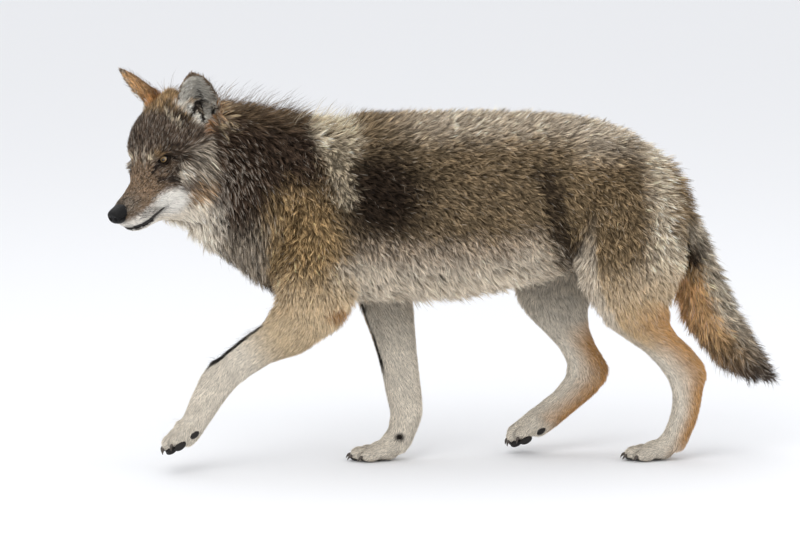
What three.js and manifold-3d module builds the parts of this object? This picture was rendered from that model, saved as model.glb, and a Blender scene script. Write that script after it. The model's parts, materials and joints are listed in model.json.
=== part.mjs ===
// A grey wolf in mid stride, life size, in millimetres. +Z is up, the head points towards -X and the
// wolf's left side towards -Y. Each form is a row of ribs: the two ends of a rib lie on the outline of the
// coat, and a ring as wide as the animal there passes through them. All forms are joined to one body, which
// thin cuts then part into its named pieces.
import * as THREE from 'three';
import { mergeVertices } from 'three/addons/utils/BufferGeometryUtils.js';
import Module from 'manifold-3d';

const wasm = await Module();
wasm.setup();

// ---- driving dimensions ----
const CUT = 0.3; // gap between two neighbouring pieces
const BACK = 735; // height of the coat over the back
const BELLY = 338; // height of the lowest belly hair
const RIBCAGE = 146; // half the width of the coat at the ribs
const HEAD_PITCH = 26; // degrees that the palate points down
const HEAD_YAW = 40; // degrees that the head is turned to its left
const HEAD_ROLL = 1.5; // degrees that the left ear stands higher
const BROW = new THREE.Vector3(-600, -70, 651); // midway between the eyes
const EAR_HEIGHT = 133;
const EAR_HALF_WIDTH = 43;
const EAR_THICK = 7;
const EYE_RADIUS = 12;
const EYE_SPREAD = 27; // from the middle of the head to the centre of an eyeball
const PAW_LENGTH = 108;
const PAW_HALF_WIDTH = 42;
const TOE_RADIUS = 15;
const CLAW_LENGTH = 17;

// Corners of the ring round a rib.
const CORNERS = { trunk: 20, head: 20, tail: 12, leg: 10 };

// ---- colours of the pieces ----
const coat = (color) => new THREE.MeshStandardMaterial({ color, roughness: 0.95, metalness: 0 });
const GRIZZLED = 0x6d6252;
const DARK = 0x453d35;
const OCHRE = 0x9a8360;
const CREAM = 0xcfc5b2;
const RUST = 0xa9743f;
const FACE = 0x8a7a66;
const NOSE = 0x1c1a19;
const EYE = 0xb08a4e;

// ---- solids ----
function solid(geometry) {
  const bare = new THREE.BufferGeometry();
  bare.setAttribute('position', geometry.getAttribute('position'));
  bare.setIndex(geometry.getIndex());
  const merged = mergeVertices(bare, 1e-4);
  const mesh = new wasm.Mesh({
    numProp: 3,
    vertProperties: Float32Array.from(merged.getAttribute('position').array),
    triVerts: Uint32Array.from(merged.getIndex().array),
  });
  return new wasm.Manifold(mesh);
}

function geometryOf(piece) {
  const mesh = piece.getMesh();
  const geometry = new THREE.BufferGeometry();
  geometry.setAttribute('position', new THREE.BufferAttribute(mesh.vertProperties, 3));
  geometry.setIndex(new THREE.BufferAttribute(mesh.triVerts, 1));
  geometry.computeVertexNormals();
  return geometry;
}

function joined(solids) {
  return solids.reduce((whole, piece) => whole.add(piece));
}

// ---- rows of ribs ----
// One point of a ring: the angle runs from the side over the rib's upper end.
function ringPoint(rib, angle, grow) {
  const power = 2 / rib.full;
  const across = Math.sign(Math.cos(angle)) * Math.abs(Math.cos(angle)) ** power;
  const along = Math.sign(Math.sin(angle)) * Math.abs(Math.sin(angle)) ** power;
  const width = rib.wide * (1 - rib.egg * along) + grow;
  const length = Math.hypot(rib.x0 - rib.x1, rib.z0 - rib.z1);
  const share = 0.5 + along * (0.5 + grow / length);
  return new THREE.Vector3(
    rib.x1 + (rib.x0 - rib.x1) * share,
    rib.y + width * across,
    rib.z1 + (rib.z0 - rib.z1) * share,
  );
}

// A closed form over ribs [x, z of one end, x, z of the other end, y, half width, egg, full]. Egg above 0
// makes the lower side the wider one, and full above 2 makes the ring squarer.
function ribbed(rows, around, grow = 0) {
  const points = rows.flatMap(([x0, z0, x1, z1, y, wide, egg = 0, full = 2.2]) => {
    const rib = { x0, z0, x1, z1, y, wide, egg, full };
    return Array.from({ length: around }, (_, k) => ringPoint(rib, (2 * Math.PI * k) / around, grow));
  });
  return skinned(points, rows.length, around);
}

// The faces over a row of rings, closed by a fan at each end.
function skinned(points, count, around) {
  const faces = [];
  for (let r = 0; r + 1 < count; r++) {
    for (let k = 0; k < around; k++) {
      const [a, b] = [r * around + k, r * around + ((k + 1) % around)];
      faces.push(a, b, b + around, a, b + around, a + around);
    }
  }
  const ends = [0, count - 1].map((r) => {
    const middle = new THREE.Vector3();
    for (let k = 0; k < around; k++) middle.addScaledVector(points[r * around + k], 1 / around);
    return points.push(middle) - 1;
  });
  for (let k = 0; k < around; k++) {
    const next = (k + 1) % around;
    faces.push(ends[0], next, k);
    faces.push(ends[1], (count - 1) * around + k, (count - 1) * around + next);
  }
  const geometry = new THREE.BufferGeometry().setFromPoints(points);
  geometry.setIndex(faces);
  return outward(geometry);
}

// Turns the faces round where the form came out inside out.
function outward(geometry) {
  const [p, faces] = [geometry.getAttribute('position'), geometry.getIndex().array];
  const corner = (i) => new THREE.Vector3().fromBufferAttribute(p, faces[i]);
  let volume = 0;
  for (let i = 0; i < faces.length; i += 3) {
    volume += corner(i).dot(corner(i + 1).cross(corner(i + 2)));
  }
  if (volume < 0) {
    for (let i = 0; i < faces.length; i += 3) {
      [faces[i], faces[i + 1]] = [faces[i + 1], faces[i]];
    }
  }
  return geometry;
}

// ---- trunk, neck and tail: upper end, lower end, middle, half width, egg, full ----
const TRUNK_ROWS = [
  [-584, 775, -566, 590, -50, 52],
  [-566, 800, -552, 530, -44, 80],
  [-530, 800, -528, 488, -32, 96, 0, 2.1],
  [-480, 789, -490, 458, -19, 106, 0, 2.1],
  [-430, 781, -440, 425, -9, 113, 0.02, 2.1],
  [-380, 773, -390, 384, -3, 120, 0.04, 2.1],
  [-330, 762, -340, 354, 0, 127, 0.06, 2.1],
  [-275, 749, -280, BELLY + 2, 0, 134, 0.06, 2.1],
  [-215, BACK + 4, -210, BELLY, 0, 140, 0.06],
  [-150, BACK, -140, BELLY, 0, RIBCAGE - 2, 0.05],
  [-70, BACK, -60, BELLY - 2, 0, RIBCAGE, 0.04],
  [20, BACK, 25, BELLY, 0, RIBCAGE - 2, 0.02],
  [110, BACK - 1, 110, BELLY + 12, 0, 138, 0],
  [190, BACK - 4, 180, BELLY + 28, 0, 128, -0.04],
  [265, BACK - 11, 245, BELLY + 47, 0, 120, -0.05],
  [330, BACK - 22, 320, BELLY + 70, 0, 116, 0],
  [392, BACK - 42, 400, BELLY + 90, 0, 108, 0.08],
  [446, BACK - 76, 460, BELLY + 105, 0, 94, 0.12],
  [492, BACK - 115, 500, BELLY + 120, 0, 74, 0.12],
  [524, 580, 524, 480, 0, 46, 0.1],
  [536, 550, 536, 505, 0, 18],
];
const TAIL_ROWS = [
  [500, 600, 430, 500, 0, 36],
  [533, 548, 468, 492, 0, 42],
  [556, 492, 478, 450, -1, 45],
  [577, 432, 484, 400, -3, 48],
  [602, 370, 492, 346, -5, 53],
  [628, 310, 510, 290, -8, 57],
  [655, 262, 545, 240, -11, 56],
  [680, 221, 588, 190, -14, 47],
  [694, 187, 635, 165, -16, 30],
  [700, 166, 678, 156, -17, 9],
];

// ---- legs: front end, back end, middle, half width ----
const LEG_ROWS = {
  fore_left: [
    [-300, 640, -180, 620, -58, 55],
    [-345, 560, -165, 540, -84, 60],
    [-366, 470, -165, 440, -95, 58],
    [-366, 402, -178, 355, -96, 54],
    [-360, 350, -214, 300, -94, 48],
    [-381, 323, -296, 246, -90, 42],
    [-414, 298, -360, 226, -84, 37],
    [-450, 268, -398, 202, -78, 34],
    [-482, 240, -427, 180, -73, 33],
    [-506, 205, -449, 154, -68, 33],
    [-525, 163, -469, 124, -63, 31],
    [-539, 126, -489, 94, -59, 29],
    [-555, 100, -506, 70, -57, 31],
    [-574, 76, -526, 50, -55, 33],
  ],
  fore_right: [
    [-290, 640, -170, 620, 58, 55],
    [-320, 560, -140, 540, 84, 60],
    [-300, 470, -95, 440, 93, 58],
    [-240, 400, -55, 380, 93, 53],
    [-176, 345, -40, 340, 86, 46],
    [-155, 300, -40, 300, 77, 40],
    [-138, 255, -38, 255, 70, 36],
    [-126, 215, -35, 212, 63, 33],
    [-116, 172, -31, 166, 55, 31],
    [-108, 128, -27, 125, 47, 32],
    [-101, 96, -27, 93, 41, 31],
    [-105, 68, -38, 64, 34, 29],
    [-120, 44, -52, 36, 29, 31],
    [-138, 30, -68, 14, 26, 34],
  ],
  hind_left: [
    [300, 660, 450, 610, -52, 48],
    [262, 590, 500, 560, -76, 60],
    [246, 500, 514, 490, -90, 62],
    [250, 440, 507, 425, -96, 57],
    [269, 380, 487, 368, -98, 50],
    [296, 335, 472, 328, -94, 45],
    [328, 292, 470, 296, -89, 40],
    [370, 262, 486, 270, -85, 36],
    [412, 233, 515, 244, -80, 33],
    [442, 203, 547, 206, -75, 30],
    [464, 174, 554, 180, -70, 29],
    [476, 146, 547, 148, -65, 28],
    [478, 115, 543, 115, -60, 28],
    [472, 84, 536, 80, -55, 28],
    [460, 52, 520, 42, -51, 31],
    [442, 30, 506, 16, -48, 34],
  ],
  hind_right: [
    [290, 660, 440, 610, 52, 48],
    [240, 590, 480, 560, 76, 60],
    [205, 500, 450, 490, 90, 58],
    [176, 430, 402, 420, 96, 54],
    [163, 365, 354, 350, 98, 48],
    [174, 318, 333, 300, 96, 44],
    [200, 284, 334, 262, 92, 39],
    [232, 252, 346, 228, 88, 34],
    [262, 220, 364, 198, 84, 31],
    [279, 188, 377, 174, 79, 29],
    [276, 160, 370, 150, 75, 28],
    [252, 130, 340, 116, 71, 28],
    [206, 96, 298, 84, 66, 28],
    [170, 68, 258, 53, 62, 30],
    [148, 52, 224, 34, 60, 34],
  ],
};

// ---- paws ----
const CLAW_TILT = 25; // degrees that a claw points down
const TOES = [
  { x: 0.78, y: -0.24 },
  { x: 0.78, y: 0.24 },
  { x: 0.6, y: -0.68 },
  { x: 0.6, y: 0.68 },
];
// Each paw's ankle and the degrees that its toes point down.
const PAWS = {
  fore_left: { at: [-505, -57, 122], down: 36 },
  fore_right: { at: [-80, 26, 24], down: 0 },
  hind_left: { at: [488, -48, 24], down: 0 },
  hind_right: { at: [240, 61, 88], down: 28 },
};

function ball(x, y, z, rx, ry, rz, steps = [7, 4]) {
  const geometry = new THREE.SphereGeometry(1, ...steps);
  return geometry.rotateX(Math.PI / 2).scale(rx, ry, rz).translate(x, y, z);
}

// A paw along +X from its ankle, which lies midway between its top and its sole.
function pawShapes() {
  const sole = -24;
  const heel = ball(0.3 * PAW_LENGTH, 0, sole + 21, 0.36 * PAW_LENGTH, PAW_HALF_WIDTH - 3, 23, [8, 4]);
  const toes = TOES.flatMap(({ x, y }) => {
    const [ahead, side] = [x * PAW_LENGTH, y * PAW_HALF_WIDTH];
    const claw = new THREE.ConeGeometry(3.8, CLAW_LENGTH, 5).rotateZ(-Math.PI / 2);
    claw.rotateY(THREE.MathUtils.degToRad(CLAW_TILT));
    claw.translate(ahead + 1.75 * TOE_RADIUS, side * 1.08, sole + 9);
    return [ball(ahead, side, sole + 15, 1.6 * TOE_RADIUS, 0.92 * TOE_RADIUS, 17), claw];
  });
  return [heel, ...toes];
}

function paw({ at, down }) {
  const place = new THREE.Matrix4().makeRotationY(THREE.MathUtils.degToRad(-down));
  const turn = new THREE.Matrix4().makeRotationZ(Math.PI).premultiply(place);
  turn.setPosition(...at);
  return joined(pawShapes().map((shape) => solid(shape.applyMatrix4(turn))));
}

// ---- head, in its own frame: x ahead along the palate, y to its left, z up from between the eyes ----
const headTurn = new THREE.Matrix4();
{
  const [yaw, pitch, roll] = [HEAD_YAW, HEAD_PITCH, HEAD_ROLL].map(THREE.MathUtils.degToRad);
  const facing = new THREE.Matrix4().makeRotationZ(Math.PI + yaw);
  const nodding = new THREE.Matrix4().makeRotationY(pitch);
  const rolling = new THREE.Matrix4().makeRotationX(roll);
  headTurn.multiply(facing).multiply(nodding).multiply(rolling).setPosition(BROW);
}

function onHead(geometry) {
  return solid(geometry.applyMatrix4(headTurn));
}

// Upper end, lower end, middle, half width, egg and full, ahead along the head.
const SKULL_ROWS = [
  [-150, 96, -140, -90, 0, 70],
  [-124, 106, -116, -190, 0, 92, 0.02],
  [-98, 98, -76, -206, 0, 98, 0.04, 2.3],
  [-72, 91, -46, -200, 0, 98, 0.05, 2.5],
  [-46, 83, -16, -174, 0, 94, 0.06, 2.7],
  [-22, 73, 12, -147, 0, 85, 0.08, 2.8],
  [2, 58, 32, -129, 0, 69, 0.06, 2.8],
  [21, 39, 48, -119, 0, 52, 0.05, 2.6],
  [37, 14, 62, -116, 0, 41, 0.04, 2.5],
  [50, -7, 74, -114, 0, 35.5, 0.04, 2.4],
  [64, -15, 84, -113, 0, 32.5, 0, 2.5],
  [88, -23, 98, -110, 0, 30, 0, 2.6],
  [110, -28, 112, -105, 0, 28, -0.05, 2.6],
  [128, -34, 122, -98, 0, 24.5, -0.1, 2.5],
  [140, -42, 130, -90, 0, 18, -0.1],
  [147, -53, 135, -79, 0, 9],
];

// An ear is a cupped sheet that narrows to a round tip.
const EAR_ROOT = new THREE.Vector3(-106, 55, 30);
const EAR_UP = new THREE.Vector3(0.09, 0.32, 0.94).normalize();
const EAR_OPEN = new THREE.Vector3(0.6, 0.76, -0.34).projectOnPlane(EAR_UP).normalize();
const EAR_ACROSS = new THREE.Vector3().crossVectors(EAR_UP, EAR_OPEN);
function earShell(side) {
  const [steps, heights] = [6, 6];
  const points = [];
  for (const wall of [0, EAR_THICK]) {
    for (let j = 0; j <= heights; j++) {
      for (let i = 0; i <= steps; i++) {
        const [s, v] = [(2 * i) / steps - 1, Math.sin((Math.PI / 2) * (j / heights))];
        const narrowing = (0.8 + 0.85 * v - 0.75 * v * v) * Math.sqrt(1.02 - v ** 3);
        const deep = (32 - 18 * v) * (1 - s * s) * Math.sqrt(1.02 - v ** 3);
        const point = EAR_ROOT.clone().addScaledVector(EAR_UP, v * EAR_HEIGHT - 14 * s * (1 - v));
        point.addScaledVector(EAR_ACROSS, s * EAR_HALF_WIDTH * narrowing * (1 + 0.08 * s));
        point.addScaledVector(EAR_OPEN, wall - deep + 8 * v * v);
        points.push(new THREE.Vector3(point.x, side * point.y, point.z));
      }
    }
  }
  return outward(slab(points, steps + 1, heights + 1));
}

// The same form with every corner moved out, midway between the faces that meet there.
function swollen(geometry, distance) {
  const [grown, loose] = [geometry.clone(), geometry.toNonIndexed()];
  loose.computeVertexNormals();
  const place = grown.getAttribute('position');
  const ways = Array.from({ length: place.count }, () => new THREE.Vector3());
  grown.getIndex().array.forEach((corner, k) => {
    ways[corner].add(new THREE.Vector3().fromBufferAttribute(loose.getAttribute('normal'), k));
  });
  ways.forEach((way, k) => {
    const moved = new THREE.Vector3().fromBufferAttribute(place, k);
    place.setXYZ(k, ...moved.addScaledVector(way.normalize(), distance));
  });
  return grown;
}

// Two grids of points, one over the other, closed round their rim.
function slab(points, wide, high) {
  const faces = [];
  const quad = (a, b, c, d) => faces.push(a, b, c, a, c, d);
  const top = wide * high;
  for (let j = 0; j + 1 < high; j++) {
    for (let i = 0; i + 1 < wide; i++) {
      const k = j * wide + i;
      quad(k, k + 1, k + wide + 1, k + wide);
      quad(top + k, top + k + wide, top + k + wide + 1, top + k + 1);
    }
  }
  const bottomRow = Array.from({ length: wide }, (_, i) => i);
  const rightRow = Array.from({ length: high }, (_, j) => j * wide + wide - 1);
  const topRow = bottomRow.map((i) => (high - 1) * wide + i).reverse();
  const leftRow = rightRow.map((k) => k - wide + 1).reverse();
  for (const row of [bottomRow, rightRow, topRow, leftRow]) {
    for (let n = 0; n + 1 < row.length; n++) quad(row[n], top + row[n], top + row[n + 1], row[n + 1]);
  }
  const geometry = new THREE.BufferGeometry().setFromPoints(points);
  geometry.setIndex(faces);
  return geometry;
}

// An eyeball, and the hollow that opens in front of it.
function eyeAt(side, radius) {
  return onHead(ball(-6, side * EYE_SPREAD, -1, radius, radius, radius, [10, 7]));
}
function eyeHollow(side) {
  return onHead(ball(18, side * 57, 0, 34, 31, 19, [10, 6]));
}

// The nose pad with its two nostrils.
function nosePad(grow) {
  const pad = onHead(ball(140, 0, -50, 20 + grow, 17 + grow, 17 + grow, [10, 6]));
  const nostrils = [-1, 1].map((side) => onHead(ball(157, side * 8.5, -52, 7, 4, 4.2, [6, 4])));
  return grow > 0 ? pad : pad.subtract(joined(nostrils));
}

// ---- parting the body ----
// A block with its upper face at a place, which the direction "up" leaves.
function block({ at, up, size, frame = new THREE.Matrix4() }, grow = 0) {
  const [wide, deep, tall] = size;
  const box = new THREE.BoxGeometry(wide + 2 * grow, deep + 2 * grow, tall + grow);
  box.translate(0, 0, (grow - tall) / 2);
  const turn = new THREE.Quaternion();
  turn.setFromUnitVectors(new THREE.Vector3(0, 0, 1), new THREE.Vector3(...up).normalize());
  return solid(box.applyQuaternion(turn).translate(...at).applyMatrix4(frame));
}

const SIDES = { left: 1, right: -1 };
const pieces = [];

// Takes what lies in the block off a body and keeps it under its own name; what is left comes back.
function partOff(body, name, color, shape) {
  pieces.push([name, color, body.intersect(block(shape, -CUT / 2))]);
  return body.subtract(block(shape, CUT / 2));
}

// The cuts across each leg from the paw up: where, the way to the body, and the width of the cut.
const LEG_CUTS = {
  fore_left: {
    forepaw: [[-528, -57, 88], [0.62, 0, 0.78]],
    forefoot: [[-482, -66, 172], [0.5, 0, 0.85]],
    forearm: [[-366, -86, 276], [0.78, 0, 0.62]],
  },
  fore_right: {
    forepaw: [[-100, 30, 50], [0.2, 0, 1]],
    forefoot: [[-66, 46, 118], [0, 0, 1]],
    forearm: [[-100, 78, 308], [0, 0, 1]],
  },
  hind_left: {
    hindpaw: [[480, -50, 48], [0.2, 0, 1]],
    hindfoot: [[508, -70, 176], [0, 0, 1]],
    shank: [[395, -92, 305], [-0.5, 0, 0.85]],
  },
  hind_right: {
    hindpaw: [[222, 62, 70], [0.8, 0, 0.6]],
    hindfoot: [[290, 76, 158], [0.2, 0, 1]],
    shank: [[256, 94, 285], [-0.3, 0, 0.95]],
  },
};
const CUT_SIZE = [900, 600, 600];

// Parts a leg below its body and gives back the part that grows into the body.
function legTop(leg) {
  const side = leg.split('_')[1];
  const floor = block({ at: [0, 0, 0], up: [0, 0, 1], size: [3000, 3000, 200] });
  let limb = solid(ribbed(LEG_ROWS[leg], CORNERS.leg)).add(paw(PAWS[leg])).subtract(floor);
  for (const [name, [at, up]] of Object.entries(LEG_CUTS[leg])) {
    const color = name.endsWith('paw') || name.endsWith('foot') ? CREAM : OCHRE;
    limb = partOff(limb, `${name}_${side}`, color, { at, up, size: CUT_SIZE });
  }
  return limb;
}

const trunk = solid(ribbed(TRUNK_ROWS, CORNERS.trunk));
const skull = onHead(ribbed(SKULL_ROWS, CORNERS.head));
let body = joined([trunk, skull, ...Object.keys(LEG_ROWS).map(legTop)]);

// The tail leaves the rump, clear of it and of the thighs.
const rumpPlace = ['hind_left', 'hind_right'].map((leg) => solid(ribbed(LEG_ROWS[leg], CORNERS.leg, CUT)));
const tailSolid = solid(ribbed(TAIL_ROWS, CORNERS.tail))
  .subtract(solid(ribbed(TRUNK_ROWS, CORNERS.trunk, CUT)))
  .subtract(joined(rumpPlace));
const tailCut = { at: [556, 0, 345], up: [-0.45, 0, 0.89], size: CUT_SIZE };
pieces.push(['tail_base', RUST, partOff(tailSolid, 'tail_end', DARK, tailCut)]);

// Keeps a form that lies in the body under its own name, and clears its place in the body.
function setIn(name, color, piece, place) {
  pieces.push([name, color, piece]);
  body = body.subtract(place.add(piece));
}

for (const [name, side] of Object.entries(SIDES)) {
  body = body.subtract(eyeHollow(side));
  setIn(`eye_${name}`, EYE, eyeAt(side, EYE_RADIUS), eyeAt(side, EYE_RADIUS + CUT));
  const ear = earShell(side);
  setIn(`ear_${name}`, RUST, onHead(ear.clone()), onHead(swollen(ear, 2 * CUT)));
}
setIn('nose', NOSE, nosePad(0), nosePad(CUT));

for (const [name, side] of Object.entries(SIDES)) {
  const lean = [0, side, 0.15];
  const thigh = { at: [370, -57 * side, 400], up: lean, size: [420, 420, 160] };
  const shoulder = { at: [-227, -58 * side, 420], up: lean, size: [396, 400, 160] };
  body = partOff(body, `thigh_${name}`, GRIZZLED, thigh);
  body = partOff(body, `shoulder_${name}`, GRIZZLED, shoulder);
}

const onHeadFrame = (at, up, size) => ({ at, up, size, frame: headTurn });
const BODY_CUTS = [
  ['lower_jaw', CREAM, onHeadFrame([92, 0, -89], [0, 0, 1], [144, 120, 60])],
  ['muzzle', FACE, onHeadFrame([46, 0, -40], [-1, 0, 0.25], [160, 140, 160])],
  ['head', FACE, onHeadFrame([-104, 0, -20], [-1, 0, 0], [460, 260, 300])],
  ['neck', DARK, { at: [-335, 0, 580], up: [0.97, 0, -0.25], size: [760, 500, 500] }],
  ['rump', GRIZZLED, { at: [225, 0, 560], up: [-1, 0, 0], size: [760, 600, 500] }],
  ['chest', GRIZZLED, { at: [-110, 0, 560], up: [1, 0, 0], size: [760, 600, 500] }],
];
for (const [name, color, shape] of BODY_CUTS) body = partOff(body, name, color, shape);
pieces.push(['belly', GRIZZLED, body]);

// ---- the wolf, with its origin under the middle of its box ----
const wolf = new THREE.Group();
const stance = new THREE.Group();
for (const [name, color, piece] of pieces) {
  const mesh = new THREE.Mesh(geometryOf(piece), coat(color));
  mesh.name = name;
  stance.add(mesh);
}
const box = new THREE.Box3().setFromObject(stance);
const middle = box.getCenter(new THREE.Vector3());
stance.position.set(-middle.x, -middle.y, -box.min.z);
wolf.add(stance);

export default wolf;
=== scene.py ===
"""A life-size grey wolf in mid stride: one skin with its coat of tufts, eyes, nose, lips, claws and pads."""

import json
import logging
import math
from dataclasses import dataclass, field, fields, replace
from enum import Enum
from typing import Iterable, Sequence

import bpy
import numpy as np
from mathutils import Matrix, Vector, kdtree
from mathutils.bvhtree import BVHTree

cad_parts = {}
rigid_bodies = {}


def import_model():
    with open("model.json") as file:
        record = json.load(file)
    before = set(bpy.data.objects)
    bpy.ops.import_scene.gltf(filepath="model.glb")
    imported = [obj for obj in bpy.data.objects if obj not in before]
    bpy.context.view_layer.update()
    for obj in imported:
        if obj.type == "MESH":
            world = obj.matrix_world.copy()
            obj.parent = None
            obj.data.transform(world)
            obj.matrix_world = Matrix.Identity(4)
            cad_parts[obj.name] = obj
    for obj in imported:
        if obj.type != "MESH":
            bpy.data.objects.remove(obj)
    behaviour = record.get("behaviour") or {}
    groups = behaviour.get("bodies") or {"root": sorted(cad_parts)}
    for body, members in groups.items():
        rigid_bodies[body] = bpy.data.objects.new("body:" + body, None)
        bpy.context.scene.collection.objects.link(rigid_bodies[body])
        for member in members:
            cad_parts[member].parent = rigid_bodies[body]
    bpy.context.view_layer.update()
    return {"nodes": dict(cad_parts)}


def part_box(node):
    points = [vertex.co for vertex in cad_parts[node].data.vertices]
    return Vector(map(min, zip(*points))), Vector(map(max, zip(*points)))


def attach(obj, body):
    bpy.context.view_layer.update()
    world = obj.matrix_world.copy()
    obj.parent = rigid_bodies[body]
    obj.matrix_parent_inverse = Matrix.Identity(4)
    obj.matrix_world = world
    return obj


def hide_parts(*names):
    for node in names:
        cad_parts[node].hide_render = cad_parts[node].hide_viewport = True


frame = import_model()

MM = 0.001  # scene units in a millimetre

logging.basicConfig(level=logging.INFO, format="%(message)s")
log = logging.getLogger("wolf")

Array = np.ndarray


# ---------------------------------------------------------------------------------------------------------
# Frames and lines
# ---------------------------------------------------------------------------------------------------------


def unit(vectors: Array) -> Array:
    """Returns the vectors at length one."""
    return vectors / np.maximum(np.linalg.norm(vectors, axis=-1, keepdims=True), 1e-9)


def ramp(values: Array, start: float, end: float) -> Array:
    """Returns 0 before the start, 1 after the end, and a smooth rise between them."""
    t = np.clip((values - start) / (end - start), 0.0, 1.0)
    return t * t * (3.0 - 2.0 * t)


@dataclass(frozen=True)
class HeadFrame:
    """The head's own axes: x ahead along the palate, y to the wolf's left, z up from between the eyes."""

    brow: tuple[float, float, float] = (-600.0, -70.0, 651.0)
    pitch: float = 26.0
    yaw: float = 40.0
    roll: float = 1.5

    @property
    def turn(self) -> Array:
        """Returns the rotation from the head's axes to the wolf's."""
        yaw = Matrix.Rotation(math.pi + math.radians(self.yaw), 3, "Z")
        pitch = Matrix.Rotation(math.radians(self.pitch), 3, "Y")
        roll = Matrix.Rotation(math.radians(self.roll), 3, "X")
        return np.array(yaw @ pitch @ roll)

    def place(self, points: Array) -> Array:
        """Returns points of the head in the wolf's frame."""
        return np.asarray(points, float) @ self.turn.T + np.array(self.brow)

    def aim(self, ways: Array) -> Array:
        """Returns directions of the head in the wolf's frame."""
        return np.asarray(ways, float) @ self.turn.T

    def local(self, points: Array) -> Array:
        """Returns points of the wolf in the head's frame."""
        return (np.asarray(points, float) - np.array(self.brow)) @ self.turn

    def local_way(self, ways: Array) -> Array:
        """Returns directions of the wolf in the head's frame."""
        return np.asarray(ways, float) @ self.turn


HEAD = HeadFrame()
EYE_CENTRE = (-6.0, 27.0, -1.0)  # of the left eye's node, in the head's frame
NOSE_MIDDLE = (131.5, 0.0, -51.5)
NOSE_RADII = (27.0, 17.5, 17.0)


@dataclass(frozen=True)
class WolfFrame:
    """The wolf's own frame in millimetres, set against the scene by the left eye's node."""

    shift: Array

    @classmethod
    def from_node(cls) -> "WolfFrame":
        """Returns the frame that puts the left eyeball where the scene has it."""
        low, high = (np.array(corner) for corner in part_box("eye_left"))
        return cls((low + high) / 2 / MM - HEAD.place(EYE_CENTRE))

    def to_scene(self, points: Array) -> Array:
        """Returns points of the wolf in the scene's metres."""
        return (np.asarray(points, float) + self.shift) * MM

    def from_scene(self, points: Array) -> Array:
        """Returns points of the scene in the wolf's millimetres."""
        return np.asarray(points, float) / MM - self.shift


WOLF = WolfFrame.from_node()


@dataclass(frozen=True)
class Limb:
    """A run of the body along a bent axis.

    Attributes:
        name: What the run is.
        axis: Points along the axis with the body's radius there, from the trunk or the nose outwards.
    """

    name: str
    axis: tuple[tuple[float, float, float, float], ...]

    def follow(self, points: Array) -> tuple[Array, Array, Array]:
        """Finds the nearest place on the axis for each point.

        Args:
            points: Points in the wolf's frame.

        Returns:
            The distance over the radius, the place from 0 to 1 along the axis, and the axis's direction.
        """
        knots = np.array(self.axis)
        best = np.full(len(points), np.inf)
        along = np.zeros(len(points))
        way = np.zeros((len(points), 3))
        steps = np.linalg.norm(np.diff(knots[:, :3], axis=0), axis=1)
        starts = np.concatenate([[0.0], np.cumsum(steps)])
        for k, step in enumerate(steps):
            a, b = knots[k], knots[k + 1]
            direction = (b[:3] - a[:3]) / step
            t = np.clip((points - a[:3]) @ direction, 0.0, step)
            gap = np.linalg.norm(points - a[:3] - t[:, None] * direction, axis=1)
            ratio = gap / (a[3] + (b[3] - a[3]) * t / step)
            nearer = ratio < best
            best[nearer] = ratio[nearer]
            along[nearer] = (starts[k] + t[nearer]) / starts[-1]
            way[nearer] = direction
        return best, along, way


LIMBS = (
    Limb("trunk", ((-575, -47, 665, 95), (-530, -32, 645, 125), (-480, -19, 623, 140), (-430, -9, 603, 150),
                   (-330, 0, 558, 160), (-210, 0, 540, 165), (20, 0, 538, 165), (190, 0, 550, 150),
                   (330, 0, 560, 130), (450, 0, 550, 100), (490, 0, 535, 75))),
    Limb("head", ((-574, -47, 640, 95), (-600, -70, 640, 80), (-680, -138, 560, 40), (-712, -165, 540, 25))),
    Limb("fore_left", ((-240, -70, 600, 60), (-265, -95, 455, 80), (-285, -94, 330, 62), (-338, -90, 284, 45),
                       (-424, -78, 236, 36), (-497, -63, 143, 33), (-545, -56, 72, 32), (-590, -55, 38, 30))),
    Limb("fore_right", ((-230, 70, 600, 60), (-197, 93, 455, 80), (-110, 86, 345, 60), (-88, 70, 255, 45),
                        (-73, 55, 169, 38), (-64, 41, 95, 35), (-86, 29, 40, 34), (-190, 26, 14, 28))),
    Limb("hind_left", ((375, -56, 620, 70), (380, -90, 495, 100), (378, -98, 374, 95), (399, -89, 294, 65),
                       (463, -80, 240, 42), (509, -70, 178, 34), (508, -58, 100, 33), (482, -49, 34, 34),
                       (380, -48, 14, 28))),
    Limb("hind_right", ((365, 56, 620, 70), (327, 90, 495, 98), (258, 98, 357, 85), (267, 92, 273, 60),
                        (318, 82, 200, 40), (322, 75, 152, 34), (240, 66, 82, 34), (190, 60, 45, 34),
                        (145, 60, 30, 28))),
    Limb("tail", ((505, 0, 510, 45), (530, -3, 416, 48), (569, -8, 300, 55), (625, -13, 214, 48),
                  (698, -17, 158, 20))),
)

LEGS = ("fore_left", "fore_right", "hind_left", "hind_right")
NOT_FLESH = ("eye_left", "eye_right", "nose")
SIDES = {"left": 1, "right": -1}


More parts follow.
